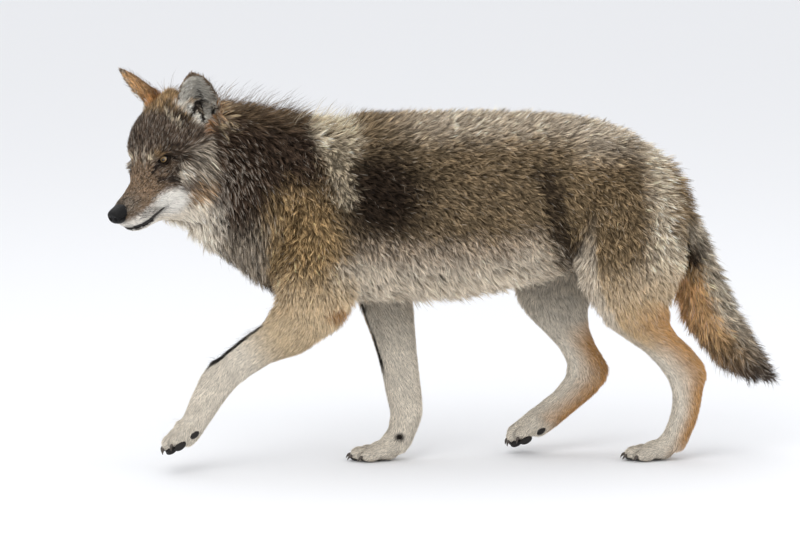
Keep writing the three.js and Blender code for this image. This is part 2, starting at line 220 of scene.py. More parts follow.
@dataclass(frozen=True)
class EarFrame:
    """An ear's axes in the head's frame.

    Attributes:
        side: 1 for the left ear and -1 for the right.
        root: The middle of the left ear's foot.
        up: From the left ear's foot to its tip.
        opening: The way that the left ear's bowl faces.
    """

    side: int
    root: tuple[float, float, float] = (-106.0, 55.0, 30.0)
    up: tuple[float, float, float] = (0.09, 0.32, 0.94)
    opening: tuple[float, float, float] = (0.6, 0.76, -0.34)

    @property
    def axes(self) -> Array:
        """Returns the ways across, up and out of the bowl, as rows."""
        up = unit(np.array(self.up))
        out = np.array(self.opening)
        out = unit(out - (out @ up) * up)
        return np.stack([np.cross(up, out), up, out]) * np.array([1.0, self.side, 1.0])

    def measure(self, head_points: Array) -> Array:
        """Returns how far points of the head lie across, up and out of the ear."""
        root = np.array(self.root) * np.array([1.0, self.side, 1.0])
        return (head_points - root) @ self.axes.T

    def way(self, across: float, up: float, out: float) -> Array:
        """Returns a direction of the ear in the wolf's frame."""
        return unit(HEAD.aim(np.array([across, up, out]) @ self.axes))


EARS = {name: EarFrame(side) for name, side in SIDES.items()}


@dataclass(frozen=True)
class PawFrame:
    """A paw's axes: x ahead from the ankle to the toes, z up from the sole.

    Attributes:
        ankle: The place midway between the top of the paw and its sole.
        down: Degrees that the toes point down.
    """

    ankle: tuple[float, float, float]
    down: float

    @property
    def turn(self) -> Array:
        """Returns the rotation from the paw's axes to the wolf's."""
        return np.array(Matrix.Rotation(-math.radians(self.down), 3, "Y") @ Matrix.Rotation(math.pi, 3, "Z"))

    def place(self, points: Array) -> Array:
        """Returns points of the paw in the wolf's frame."""
        return np.asarray(points, float) @ self.turn.T + np.array(self.ankle)

    def local(self, points: Array) -> Array:
        """Returns points of the wolf in the paw's frame."""
        return (np.asarray(points, float) - np.array(self.ankle)) @ self.turn

    @staticmethod
    def clefts(place: Array, wide: float) -> Array:
        """Returns 1 in the clefts between the toes and 0 beside them.

        Args:
            place: Points in the paw's frame.
            wide: Half the width of a cleft.

        Returns:
            A mask from 0 to 1.
        """
        x, y, z = place.T
        near = (x > 55) & (x < 120) & (np.abs(y) < 50) & (z < 24)
        gap = np.min([np.abs(y - cleft * (1 + 0.002 * x)) for cleft in (-19.0, 0.0, 19.0)], axis=0)
        return near * (1 - ramp(gap, 0.25 * wide, wide)) * ramp(x, 62, 80)


@dataclass(frozen=True)
class OrbitFrame:
    """An eyeball's axes in the head's frame: ahead through the pupil, to the outer corner, and up.

    Attributes:
        side: 1 for the left eye and -1 for the right.
        centre: The middle of the left eyeball.
        gaze: The way that the left eye looks.
        tilt: Degrees that the outer corner lies higher than the inner one.
        radius: Radius of the eyeball.
        oval: Degrees from the gaze to the fur, at a corner and above.
    """

    side: int
    centre: tuple[float, float, float] = (-8.2, 25.6, -1.0)
    gaze: tuple[float, float, float] = (0.8, 0.58, 0.1)
    tilt: float = 24.0
    radius: float = 12.0
    oval: tuple[float, float] = (62.0, 40.0)

    @property
    def middle(self) -> Array:
        """Returns the middle of the eyeball."""
        return np.array(self.centre) * np.array([1.0, self.side, 1.0])

    @property
    def axes(self) -> Array:
        """Returns the ways ahead, to the outer corner and up, as rows."""
        gaze = unit(np.array(self.gaze))
        up = np.array([0.0, 0.0, 1.0]) - gaze[2] * gaze
        up = unit(up)
        outer = np.cross(up, gaze)
        c, s = math.cos(math.radians(self.tilt)), math.sin(math.radians(self.tilt))
        rows = np.stack([gaze, c * outer + s * up, c * up - s * outer])
        return rows * np.array([1.0, self.side, 1.0])

    def measure(self, head_points: Array) -> tuple[Array, Array, Array, Array]:
        """Returns distance, degrees off the gaze, and how far to the outer corner and up, from the middle."""
        ahead, outer, up = ((head_points - self.middle) @ self.axes.T).T
        reach = np.sqrt(ahead ** 2 + outer ** 2 + up ** 2)
        return reach, np.degrees(np.arccos(np.clip(ahead / np.maximum(reach, 1e-6), -1, 1))), outer, up

    def lid_share(self, head_points: Array) -> Array:
        """Returns 0 at the middle of the lids, 1 at their oval edge and more beyond it."""
        _, angle, outer, up = self.measure(head_points)
        aside = np.maximum(np.hypot(outer, up), 1e-6)
        return angle * np.hypot(outer / self.oval[0], up / self.oval[1]) / aside

    def place(self, points: Array) -> Array:
        """Returns points given by these axes in the wolf's frame."""
        return HEAD.place(np.asarray(points) @ self.axes + self.middle)


ORBITS = {name: OrbitFrame(side) for name, side in SIDES.items()}
WHISKER_ROOTS = tuple((112.0 - 8.5 * k - 3 * row, -66.0 - 4.2 * row - 0.35 * k)
                      for row in range(3) for k in range(5))  # ahead and up in the head's frame


PAWS = {
    "fore_left": PawFrame((-505.0, -57.0, 122.0), 36.0),
    "fore_right": PawFrame((-80.0, 26.0, 24.0), 0.0),
    "hind_left": PawFrame((488.0, -48.0, 24.0), 0.0),
    "hind_right": PawFrame((240.0, 61.0, 88.0), 28.0),
}


# ---------------------------------------------------------------------------------------------------------
# Meshes
# ---------------------------------------------------------------------------------------------------------


def deselect() -> None:
    """Leaves nothing selected and no active object."""
    for thing in bpy.context.view_layer.objects:
        thing.select_set(False)
    bpy.context.view_layer.objects.active = None


def activate(thing: bpy.types.Object) -> None:
    """Makes one object the only selected and the active one."""
    deselect()
    thing.select_set(True)
    bpy.context.view_layer.objects.active = thing


def mesh_object(name: str, points: Array, faces: Sequence[Sequence[int]]) -> bpy.types.Object:
    """Makes an object from points in the wolf's frame.

    Args:
        name: The object's name.
        points: Its points.
        faces: The point numbers of each face.

    Returns:
        The object, with its place in its mesh.
    """
    mesh = bpy.data.meshes.new(name)
    mesh.from_pydata(WOLF.to_scene(points).tolist(), [], faces)
    mesh.update()
    thing = bpy.data.objects.new(name, mesh)
    bpy.context.scene.collection.objects.link(thing)
    return thing


def modify(thing: bpy.types.Object, kind: str, **settings: object) -> None:
    """Adds a modifier with its settings and applies it."""
    activate(thing)
    modifier = thing.modifiers.new(kind.title(), kind)
    for name, value in settings.items():
        setattr(modifier, name, value)
    bpy.ops.object.modifier_apply(modifier=modifier.name)


def read(items: bpy.types.bpy_prop_collection, name: str, width: int, kind: type = np.float32) -> Array:
    """Reads a property of all the items of a collection.

    Args:
        items: The collection.
        name: The property.
        width: How many numbers it has.
        kind: The numbers' type.

    Returns:
        The values, a row for each item.
    """
    flat = np.empty(len(items) * width, kind)
    items.foreach_get(name, flat)
    return flat.reshape(-1, width)


def points_of(mesh: bpy.types.Mesh) -> Array:
    """Returns the mesh's points in the wolf's frame."""
    return WOLF.from_scene(read(mesh.vertices, "co", 3))


def set_points(mesh: bpy.types.Mesh, points: Array) -> None:
    """Puts points of the wolf's frame into the mesh."""
    mesh.vertices.foreach_set("co", WOLF.to_scene(points).astype(np.float32).ravel())
    mesh.update()


def normals_of(mesh: bpy.types.Mesh) -> Array:
    """Returns the mesh's point normals."""
    return read(mesh.vertex_normals, "vector", 3).astype(float)


def edges_of(mesh: bpy.types.Mesh) -> Array:
    """Returns the two point numbers of each edge."""
    return read(mesh.edges, "vertices", 2, np.int32)


def evened(values: Array, edges: Array, rounds: int) -> Array:
    """Returns numbers or vectors, each round halfway to the mean of their neighbours'."""
    count = len(values)
    even = values.reshape(count, -1)
    both = np.concatenate([edges, edges[:, ::-1]])
    links = np.bincount(both[:, 0], minlength=count)[:, None]
    for _ in range(rounds):
        near = [np.bincount(both[:, 0], column[both[:, 1]], count) for column in even.T]
        even = 0.5 * even + 0.5 * np.stack(near, axis=1) / links
    return even.reshape(values.shape)


def paint_points(mesh: bpy.types.Mesh, name: str, colors: Array) -> None:
    """Stores a colour for each point of a mesh."""
    layer = mesh.color_attributes.new(name, "FLOAT_COLOR", "POINT")
    rgba = np.concatenate([colors, np.ones((len(colors), 1))], axis=1)
    layer.data.foreach_set("color", rgba.astype(np.float32).ravel())


def store(mesh: bpy.types.Mesh, name: str, values: Array) -> None:
    """Stores a number or a vector for each point of a mesh."""
    kind = "FLOAT" if values.ndim == 1 else "FLOAT_VECTOR"
    layer = mesh.attributes.new(name, kind, "POINT")
    layer.data.foreach_set("value" if values.ndim == 1 else "vector", values.astype(np.float32).ravel())


def smooth(thing: bpy.types.Object) -> None:
    """Shades an object smooth."""
    thing.data.polygons.foreach_set("use_smooth", np.ones(len(thing.data.polygons), bool))


def face_out(thing: bpy.types.Object) -> None:
    """Turns the faces of a closed object outwards."""
    activate(thing)
    bpy.ops.object.mode_set(mode="EDIT")
    bpy.ops.mesh.select_all(action="SELECT")
    bpy.ops.mesh.normals_make_consistent(inside=False)
    bpy.ops.object.mode_set(mode="OBJECT")


def sphere(name: str, segments: int, rings: int) -> tuple[bpy.types.Object, Array]:
    """Adds a ball of radius one.

    Args:
        name: The object's name.
        segments: Faces round it.
        rings: Faces from pole to pole.

    Returns:
        The object and its points.
    """
    deselect()
    bpy.ops.mesh.primitive_uv_sphere_add(segments=segments, ring_count=rings, radius=1.0)
    thing = bpy.context.object
    thing.name = name
    return thing, read(thing.data.vertices, "co", 3).astype(float)


def dress(thing: bpy.types.Object, material: bpy.types.Material, slot: str, *nodes: str) -> bpy.types.Object:
    """Finishes a piece and reports it.

    Args:
        thing: The piece.
        material: Its material.
        slot: The slot that its finish is kept under.
        nodes: The nodes that it stands for.

    Returns:
        The piece.
    """
    thing.data.materials.append(material)
    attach(thing, "root")
    if nodes:
        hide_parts(*nodes)
    log.info("%s: %d faces", thing.name, len(thing.data.polygons))
    return thing


def join(things: Sequence[bpy.types.Object], name: str) -> bpy.types.Object:
    """Joins objects to one."""
    deselect()
    for thing in things:
        thing.select_set(True)
    bpy.context.view_layer.objects.active = things[0]
    bpy.ops.object.join()
    things[0].name = name
    return things[0]


def rods(name: str, paths: Sequence[Array], radii: Sequence[Sequence[float]], sides: int) -> bpy.types.Object:
    """Makes round rods along lines.

    Args:
        name: The object's name.
        paths: The lines, in the wolf's frame.
        radii: The radius at each point of each line, in millimetres.
        sides: Number of sides of a rod.

    Returns:
        One object with all the rods.
    """
    curve = bpy.data.curves.new(name, "CURVE")
    curve.dimensions = "3D"
    curve.bevel_depth = MM
    curve.bevel_resolution = max(0, sides // 2 - 2)
    curve.resolution_u = 3
    curve.use_fill_caps = True
    for path, radius in zip(paths, radii):
        spline = curve.splines.new("NURBS")
        spline.points.add(len(path) - 1)
        spline.order_u = 3
        spline.use_endpoint_u = True
        for point, place, size in zip(spline.points, WOLF.to_scene(path), radius):
            point.co = (*place, 1.0)
            point.radius = size
    rod = bpy.data.objects.new(name, curve)
    bpy.context.scene.collection.objects.link(rod)
    activate(rod)
    bpy.ops.object.convert(target="MESH")
    rod = bpy.context.object
    face_out(rod)
    smooth(rod)
    return rod


# ---------------------------------------------------------------------------------------------------------
# The lie, length and depth of the coat
# ---------------------------------------------------------------------------------------------------------

LIP_LINE = ((137.0, -78.5), (128.0, -84.5), (118.0, -87.5), (106.0, -90.0), (94.0, -91.0), (82.0, -90.5),
            (70.0, -88.5), (58.0, -86.0), (48.0, -83.5))  # ahead and up in the head's frame
STANDS = (1.15, 0.95, 0.75)  # how much of its lift each third of a tuft has, from the root
LIMB_NAMES = [limb.name for limb in LIMBS]


def gap_to_line(points: Array, line: Array) -> Array:
    """Returns how far each point is from a bent line."""
    best = np.full(len(points), np.inf)
    for a, b in zip(line[:-1], line[1:]):
        t = np.clip((points - a) @ (b - a) / ((b - a) @ (b - a)), 0.0, 1.0)
        best = np.minimum(best, np.linalg.norm(points - a - t[:, None] * (b - a), axis=1))
    return best


def blob(points: Array, centre: Sequence[float], radii: Sequence[float], soft: float = 0.5) -> Array:
    """Returns 1 in an ellipsoid, 0 outside it, and a soft edge between.

    Args:
        points: The places asked about.
        centre: The middle of the ellipsoid.
        radii: Its three half sizes.
        soft: Width of the edge, as a share of the radii.

    Returns:
        A mask from 0 to 1.
    """
    gap = np.linalg.norm((points - np.array(centre)) / np.array(radii), axis=1)
    return 1.0 - ramp(gap, 1.0 - soft, 1.0 + soft)


def streak(points: Array, line: Sequence[Sequence[float]], reach: float) -> Array:
    """Returns 1 along a bent line and 0 a reach away from it."""
    return 1.0 - ramp(gap_to_line(points, np.array(line, float)), 0.45 * reach, 1.2 * reach)


@dataclass
class Site:
    """Places on the wolf with what the coat needs to know there.

    Attributes:
        points: Places in the wolf's frame.
        normals: The ways out of the body.
        ear: From 0 off the ears to 1 on the left one or -1 on the right one.
        share: How much of each limb's coat there is at the place, by limb.
        along: How far along each limb the place is, by limb.
        flow: The way that the hair lies.
        length: The hair's length in millimetres.
        lift: The angle that the hair stands up at, in radians.
    """

    points: Array
    normals: Array
    ear: Array
    share: Array
    along: Array
    flow: Array
    length: Array
    lift: Array

    @classmethod
    def survey(cls, points: Array, normals: Array, ear: Array) -> "Site":
        """Works out the coat at each place.

        Args:
            points: Places in the wolf's frame.
            normals: The ways out of the body.
            ear: From 0 off the ears to 1 on the left one or -1 on the right one.

        Returns:
            The places with their coat.
        """
        follow = [limb.follow(points) for limb in LIMBS]
        closeness = np.stack([np.exp(-2.5 * ratio ** 2) for ratio, _, _ in follow], axis=1) + 1e-12
        closeness[:, LIMB_NAMES.index("head")] = 0.0
        share = closeness / closeness.sum(axis=1, keepdims=True)
        face = cls.head_share(HEAD.local(points))
        share *= 1.0 - face[:, None]
        share[:, LIMB_NAMES.index("head")] = face
        along = np.stack([place for _, place, _ in follow], axis=1)
        site = cls(points, normals, ear, share, along, flow=normals, length=ear, lift=ear)
        site.length = site.lengths()
        site.lift = site.lifts()
        site.flow = site.lie([way for _, _, way in follow])
        return site

    @staticmethod
    def head_share(head: Array) -> Array:
        """Returns 1 on the head and its ruff and 0 behind them, for places in the head's frame."""
        back = np.interp(head[:, 2], (-160, -110, -60, 45, 110), (34, 4, -34, -92, -104))
        near = 1.0 - ramp(np.linalg.norm(head, axis=1), 205, 240)
        return near * ramp(head[:, 0] - back, -16, 10)

    def of(self, name: str) -> Array:
        """Returns the share of a limb."""
        return self.share[:, LIMB_NAMES.index(name)]

    def down(self, name: str) -> Array:
        """Returns how far along a limb the places are."""
        return self.along[:, LIMB_NAMES.index(name)]

    @property
    def head(self) -> Array:
        """Returns the places in the head's frame."""
        return HEAD.local(self.points)

    @property
    def mane(self) -> Array:
        """Returns 1 along the top of the neck, where long guard hairs stand up."""
        x, _, z = self.points.T
        return ramp(self.normals[:, 2], 0.55, 0.85) * ramp(-x, 150, 210) * (1.0 - self.of("head") * 0.6)

    @property
    def depth(self) -> Array:
        """Returns how far the coat stands off the skin."""
        rise = sum(np.sin(np.clip(self.lift * stand, 0.0, 1.4)) for stand in STANDS) / len(STANDS)
        return 0.92 * self.length * rise + 14.0 * self.mane

    @property
    def bald(self) -> Array:
        """Returns 1 where no hair grows: round the eyes, on the lips and under the paws."""
        head = self.head
        bald = np.zeros(len(head))
        for orbit in ORBITS.values():
            reach = orbit.measure(head)[0]
            bald = np.maximum(bald, (1 - ramp(reach, 24, 28)) * (1 - ramp(orbit.lid_share(head), 0.9, 1.05)))
        nose = np.linalg.norm((head - np.array(NOSE_MIDDLE)) / np.array(NOSE_RADII), axis=1)
        bald = np.maximum(bald, 1 - ramp(nose, 1.05, 1.2))
        gap = gap_to_line(head[:, [0, 2]], np.array(LIP_LINE))
        return np.maximum(bald, (1 - ramp(gap, 4.5, 7.0)) * (self.of("head") > 0.5))

    @property
    def ear_front(self) -> Array:
        """Returns 1 on the head at the foot of an ear's bowl, where the hair is short."""
        head = np.stack([self.head[:, 0], np.abs(self.head[:, 1]), self.head[:, 2]], axis=1)
        foot = np.maximum(streak(head, ((-82, 72, 76), (-88, 90, 54), (-104, 92, 54)), 20),
                          streak(head, ((-108, 72, 76), (-114, 80, 67), (-128, 84, 61), (-119, 94, 50)), 14))
        return foot * (1 - np.abs(self.ear))

    def eye_gap(self) -> Array:
        """Returns the distance to the nearer eyeball's middle."""
        head = self.head
        return np.minimum(*(orbit.measure(head)[0] for orbit in ORBITS.values()))

    def lengths(self) -> Array:
        """Returns the hair's length in millimetres."""
        x, _, z = self.points.T
        hx, hy, hz = self.head.T
        wide = np.abs(hy)
        face = 14 - 7.5 * ramp(hx, 15, 55) + 5 * ramp(hz, 40, 80) * ramp(-hx, 25, 60)
        face += ramp(-hz, -25, 20) * (8 * ramp(wide, 45, 70) * ramp(-hx, -30, 10)
                                      + 24 * ramp(wide, 70, 92) * ramp(-hx, -25, 20))
        face += 24 * ramp(-hz, 108, 150)
        face *= 1.0 - 0.62 * (1.0 - ramp(self.eye_gap(), 17, 36))
        lengths = {
            "trunk": 29 + 9 * ramp(-x, 200, 350) + 16 * ramp(450 - z, 0, 60) * ramp(x, -200, -60)
            + 12 * ramp(x, 380, 460),
            "head": face,
            "tail": 42 + 12 * ramp(self.down("tail"), 0.86, 1.0),
        }
        for leg in LEGS:
            place = self.down(leg)
            lengths[leg] = 29 - 17 * ramp(place, 0.2, 0.5) - 4 * ramp(place, 0.75, 0.95)
        length = sum(self.of(name) * value for name, value in lengths.items())
        length += self.ear_front * (5 - length)
        for ear in EARS.values():
            across, up, _ = ear.measure(self.head).T
            bowl = ramp(self.normals @ ear.way(0, 0, 1), 0.0, 0.35)
            fuzz = 8 + (20 - 10 * bowl) * (1 - ramp(up, 12, 62)) + bowl * (9 - 6 * ramp(up, 60, 120))
            length += np.clip(self.ear * ear.side, 0, 1) * (fuzz - length)
        return length

    def lifts(self) -> Array:
        """Returns the angle that the hair stands up at."""
        hx, _, hz = self.head.T
        lifts = {
            "trunk": 1.0 - 0.36 * ramp(np.abs(self.normals[:, 2]), 0.3, 0.85),
            "head": 0.36 + 0.24 * ramp(-hx, -30, 0) * ramp(hz, -10, 30)
            - 0.2 * (1 - ramp(self.eye_gap(), 20, 34)),
            "tail": 0.55 - 0.27 * ramp(self.down("tail"), 0.82, 1.0),
        }
        for leg in LEGS:
            lifts[leg] = 0.95 - 0.65 * ramp(self.down(leg), 0.2, 0.5)
        lift = sum(self.of(name) * value for name, value in lifts.items())
        ear = 0.24
        for frame_of_ear in EARS.values():
            _, up, out = frame_of_ear.measure(self.head).T
            ear = ear + 0.3 * (1 - ramp(up, 15, 60)) * (1 - ramp(out, -8, 2))
        return lift + np.abs(self.ear) * (ear - lift)

    def lie(self, ways: list[Array]) -> Array:
        """Returns the way that the hair lies, from the limbs' own ways."""
        x, _, z = self.points.T
        down = np.array([0.0, 0.0, -1.0])
        side = 1.0 - np.abs(self.normals[:, 2])
        flow = np.zeros_like(self.points)
        for limb, way in zip(LIMBS, ways):
            lie = self.head_lie() if limb.name == "head" else way.copy()
            if limb.name == "trunk":
                sag = side * (0.75 + 1.9 * ramp(-x, 120, 340) + 1.7 * ramp(530 - z, 0, 120))
                lie += (sag + 0.3 * ramp(x, 150, 450))[:, None] * down
            if limb.name in LEGS:
                lie += np.array([0.25, 0.0, 0.0])
            flow += self.of(limb.name)[:, None] * lie
        for ear in EARS.values():
            mine = np.clip(self.ear * ear.side, 0, 1)[:, None]
            across, _, _ = ear.measure(self.head).T
            bowl = ramp(self.normals @ ear.way(0, 0, 1), 0.0, 0.35) * np.clip(-across / 18, -1, 1)
            lie = ear.way(0, 1, 0) + 0.8 * bowl[:, None] * ear.way(1, 0, 0)
            flow = flow * (1.0 - mine) + mine * lie
        flow -= np.sum(flow * self.normals, axis=1, keepdims=True) * self.normals
        return unit(flow)

    def head_lie(self) -> Array:
        """Returns the way that the head's hair lies: back from the nose, up the brow and down the cheeks."""
        head = self.head
        hx, hy, hz = head.T
        side = np.clip(hy / 40, -1, 1)
        brow = ramp(hz, -5, 30) * ramp(-hx, -45, 0) * (1.0 - ramp(-hx, 45, 85))
        cheek = ramp(np.abs(hy), 38, 64) * ramp(-hx, -45, 5) * ramp(-hz, -35, 25)
        jaw = ramp(-hz, 80, 115)
        outwards, upwards = 0.2 * side * (cheek + brow), 0.9 * brow - 1.15 * cheek - 0.5 * jaw
        lie = np.stack([0.6 * cheek - 1.0, outwards, upwards], axis=1)
        for orbit in ORBITS.values():
            reach, _, outer, up = orbit.measure(head)
            _, outer_way, up_way = orbit.axes
            away = unit(outer[:, None] * outer_way + up[:, None] * up_way)
            lie += 0.8 * (1.0 - ramp(reach, 18, 38))[:, None] * away
        return HEAD.aim(lie)

    def pick(self, corners: Array, weights: Array) -> "Site":
        """Returns places inside triangles of the known ones.

        Args:
            corners: The three known places round each new one.
            weights: How much each of them counts.

        Returns:
            The new places.
        """
        values = {}
        for item in fields(self):
            known = getattr(self, item.name)[corners]
            shares = weights if known.ndim == 2 else weights[:, :, None]
            values[item.name] = np.sum(known * shares, axis=1)
        site = Site(**values)
        site.normals = unit(site.normals)
        site.flow = unit(site.flow - np.sum(site.flow * site.normals, axis=1, keepdims=True) * site.normals)
        return site


# ---------------------------------------------------------------------------------------------------------
# Markings
# ---------------------------------------------------------------------------------------------------------


def tint(code: str) -> Array:
    """Returns a colour written in hexadecimal as a screen shows it, as linear light."""
    shown = np.array([int(code[k:k + 2], 16) / 255 for k in (0, 2, 4)])
    return np.where(shown <= 0.04045, shown / 12.92, ((shown + 0.055) / 1.055) ** 2.4)


class Tone:
    """The colours of the coat."""

    BACK = tint("c8baa6")
    BAND = tint("e6d8be")
    BELLY = tint("d0c4b2")
    BREECH = tint("ddcfb9")
    BRIDGE = tint("655a4e")
    BROW = tint("7d6548")
    CHEEK = tint("e4e0d8")
    CREAM = tint("ddd4c5")
    CROWN = tint("957a56")
    DARK = tint("1b1511")
    EAR = tint("a8835a")
    EAR_BOWL = tint("c1bdb3")
    EAR_ROOT = tint("a86f36")
    FLANK = tint("8b785d")
    FOREARM = tint("cdb897")
    FOREHEAD = tint("57493d")
    FRINGE = tint("e6cfa8")
    FROST = tint("c4baac")
    LINE = tint("b3a58d")
    LIP = tint("e7e1d8")
    LOW_FLANK = tint("ad9d8a")
    MEDIAL = tint("c6bdae")
    MUZZLE = tint("77624d")
    NAPE = tint("75614a")
    NECK = tint("4d3e32")
    RUFF = tint("948878")
    RUST = tint("bd915e")
    SHADOW = tint("362b21")
    SHANK = tint("c6ae8a")
    SHOULDER = tint("a58b64")
    TAIL = tint("b0a491")
    TAIL_UNDER = tint("cda878")
    TAIL_TIP = tint("483d35")
    TAN = tint("94795c")
    THIGH = tint("917c5e")
    THROAT = tint("dcd2c2")


@dataclass
class Markings:
    """The colour of the coat at each place, with the shares of its hairs that have dark or pale tips."""

    site: Site
    color: Array = field(init=False)
    grizzle: Array = field(init=False)
    frost: Array = field(init=False)

    def __post_init__(self) -> None:
        """Paints the whole wolf, one part over the other."""
        count = len(self.site.points)
        self.color = np.tile(Tone.FLANK, (count, 1))
        self.grizzle = np.full(count, 0.55)
        self.frost = np.full(count, 0.06)
        x, y, z = self.site.points.T
        self.both = np.stack([x, np.abs(y), z], axis=1)
        hx, hy, hz = self.site.head.T
        self.face = np.stack([hx, np.abs(hy), hz], axis=1)
        self.trunk()
        self.legs()
        self.paws()
        self.tail()
        self.head()
        self.ears()

    def paint(self, mask: Array, color: Array,
              grizzle: float | None = None, frost: float | None = None) -> None:
        """Lays a colour over the coat where the mask is 1.

        Args:
            mask: From 0 to 1 at each place.
            color: The colour.
            grizzle: The share of dark tips, if it changes.
            frost: The share of pale tips, if it changes.
        """
        self.color += mask[:, None] * (color - self.color)
        if grizzle is not None:
            self.grizzle += mask * (grizzle - self.grizzle)
        if frost is not None:
            self.frost += mask * (frost - self.frost)

    def trunk(self) -> None:
        """Paints neck, back, flanks, belly and thighs."""
        x, _, z = self.both.T
        self.paint(ramp(z, 640, 715) * ramp(x, -150, 20), Tone.BACK, 0.5, 0.15)
        self.paint(ramp(-x, 225, 275), Tone.NECK, 0.6, 0.12)
        self.paint(ramp(-x, 215, 260) * ramp(z + 0.12 * x, 640, 680), Tone.NAPE, 0.6, 0.1)
        self.paint(blob(self.both, (-445, 120, 600), (75, 110, 60), 0.45), Tone.NECK, 0.35, 0.5)
        self.paint(blob(self.both, (-300, 110, 470), (82, 130, 110), 0.35), Tone.SHOULDER, 0.5, 0.05)
        self.paint(ramp(-x, 330, 380) * (1 - ramp(z - 0.25 * x, 560, 640)), Tone.RUFF, 0.5, 0.3)
        self.paint(blob(self.both, (-132, 110, 565), (96, 150, 96), 0.55), Tone.SHADOW, 0.5, 0.04)
        self.paint(blob(self.both, (-218, 60, 700), (48, 150, 66), 0.35), Tone.BAND, 0.25, 0.3)
        side = self.both[:, [0, 2]]
        self.paint(streak(side, ((-218, 680), (-222, 620), (-206, 560)), 26), Tone.LINE, 0.4, 0.25)
        rise = 26 * ramp(x, 100, 220)
        self.paint(ramp(rise - z, -500, -440) * ramp(x, -230, -150), Tone.LOW_FLANK, 0.35, 0.3)
        self.paint(ramp(rise - z, -456, -410) * ramp(x, -270, -190), Tone.BELLY, 0.1, 0.3)
        self.paint(blob(self.both, (330, 110, 500), (120, 150, 130), 0.4), Tone.THIGH, 0.5, 0.08)
        self.paint(ramp(z, 590, 680) * ramp(x, 230, 330), Tone.BACK, 0.45, 0.25)
        self.paint(ramp(x, 395, 450) * ramp(z, 330, 430), Tone.BREECH, 0.3, 0.35)
        self.paint(ramp(x, 452, 490) * ramp(z, 400, 470), Tone.THIGH, 0.6, 0.2)
        crease = streak(side, ((208, 600), (226, 550), (240, 490), (272, 432)), 26)
        self.paint(0.85 * crease, Tone.SHADOW, 0.6)
        self.paint(ramp(-x, 488, 520) * ramp(-z, -610, -580), Tone.THROAT, 0.1, 0.2)
        self.paint(ramp(-x, 430, 480) * ramp(-z + 0.6 * x, -860, -810), Tone.THROAT, 0.1, 0.2)

    def legs(self) -> None:
        """Paints the legs from the elbow and the knee down."""
        inner = {"fore_left": 1, "hind_left": 1, "fore_right": -1, "hind_right": -1}
        for leg in LEGS:
            place, share = self.site.down(leg), ramp(self.site.of(leg), 0.3, 0.7)
            medial = share * ramp(inner[leg] * self.site.normals[:, 1], 0.0, 0.5)
            front = (0.2, 0.6) if leg == "hind_left" else (0.4, 0.75)
            ahead = ramp(-self.site.normals[:, 0], *front)
            behind = ramp(self.site.normals[:, 0], -0.45, 0.45)
            if leg.startswith("fore"):
                self.paint(share * ramp(place, 0.22, 0.36), Tone.FOREARM, 0.12, 0.1)
                self.paint(share * ramp(place, 0.12, 0.24) * medial, Tone.MEDIAL, 0.1, 0.2)
                low = ramp(place, 0.48, 0.62)
            else:
                self.paint(share * ramp(place, 0.22, 0.4), Tone.SHANK, 0.1, 0.1)
                self.paint(share * ahead * ramp(place, 0.12, 0.26), Tone.BELLY, 0.05, 0.2)
                self.paint(share * medial * ramp(place, 0.05, 0.2), Tone.MEDIAL, 0.25, 0.2)
                low = ramp(place, 0.45, 0.58)
            self.paint(share * low, Tone.CREAM, 0.0, 0.2)
            if leg.startswith("hind"):
                top = 0.34 if leg == "hind_left" else 0.5
                self.paint(share * behind * ramp(place, top, top + 0.12), Tone.RUST, 0.08, 0.1)
            self.paint(share * ramp(place, 0.82, 0.9), Tone.CREAM, 0.0, 0.2)
        spots = self.site.points
        place, share = self.site.down("fore_left"), self.site.of("fore_left")
        ridge = self.site.normals @ unit(np.array([-0.5, -0.15, 0.85])) + 0.07 * ramp(place, 0.54, 0.62)
        line = ramp(place, 0.46, 0.5) * (1 - ramp(place, 0.68, 0.73))
        self.paint(share * ramp(ridge, 0.9, 0.97) * line, Tone.DARK, 0.0, 0.0)
        edge = ramp(self.site.normals @ unit(np.array([-0.96, -0.28, 0.1])), 0.88, 0.94)
        place, share = self.site.down("fore_right"), self.site.of("fore_right")
        self.paint(share * edge * ramp(place, 0.2, 0.35) * (1 - ramp(place, 0.6, 0.66)), Tone.DARK, 0.0, 0.0)
        self.paint(blob(spots, (-84, 4, 50), (10, 8, 9), 0.5), Tone.DARK, 0.0, 0.0)
        self.paint(blob(spots, (-222, -120, 322), (30, 40, 15), 0.6), Tone.EAR, 0.1)

    def paws(self) -> None:
        """Paints shade into the clefts between the toes."""
        for paw in PAWS.values():
            # Painted shade: dark lines in the clefts between the toes.
            self.paint(0.7 * paw.clefts(paw.local(self.site.points), 2.6), Tone.DARK, 0.0, 0.0)

    def tail(self) -> None:
        """Paints the tail."""
        place, share = self.site.down("tail"), ramp(self.site.of("tail"), 0.4, 0.7)
        under = ramp(-self.site.normals[:, 0] - 0.3 * self.site.normals[:, 2], -0.35, 0.15)
        self.paint(share, Tone.TAIL, 0.5, 0.3)
        self.paint(share * under * ramp(place, 0.08, 0.25), Tone.TAIL_UNDER, 0.1, 0.2)
        self.paint(share * 0.7 * ramp(place + 0.1 * under, 0.5, 0.8), Tone.NAPE, 0.7, 0.25)
        self.paint(share * ramp(place + 0.08 * under, 0.7, 0.95), Tone.TAIL_TIP, 0.5, 0.25)
        self.paint(blob(self.both, (524, 50, 420), (24, 60, 34), 0.7), Tone.SHADOW, 0.6, 0.1)

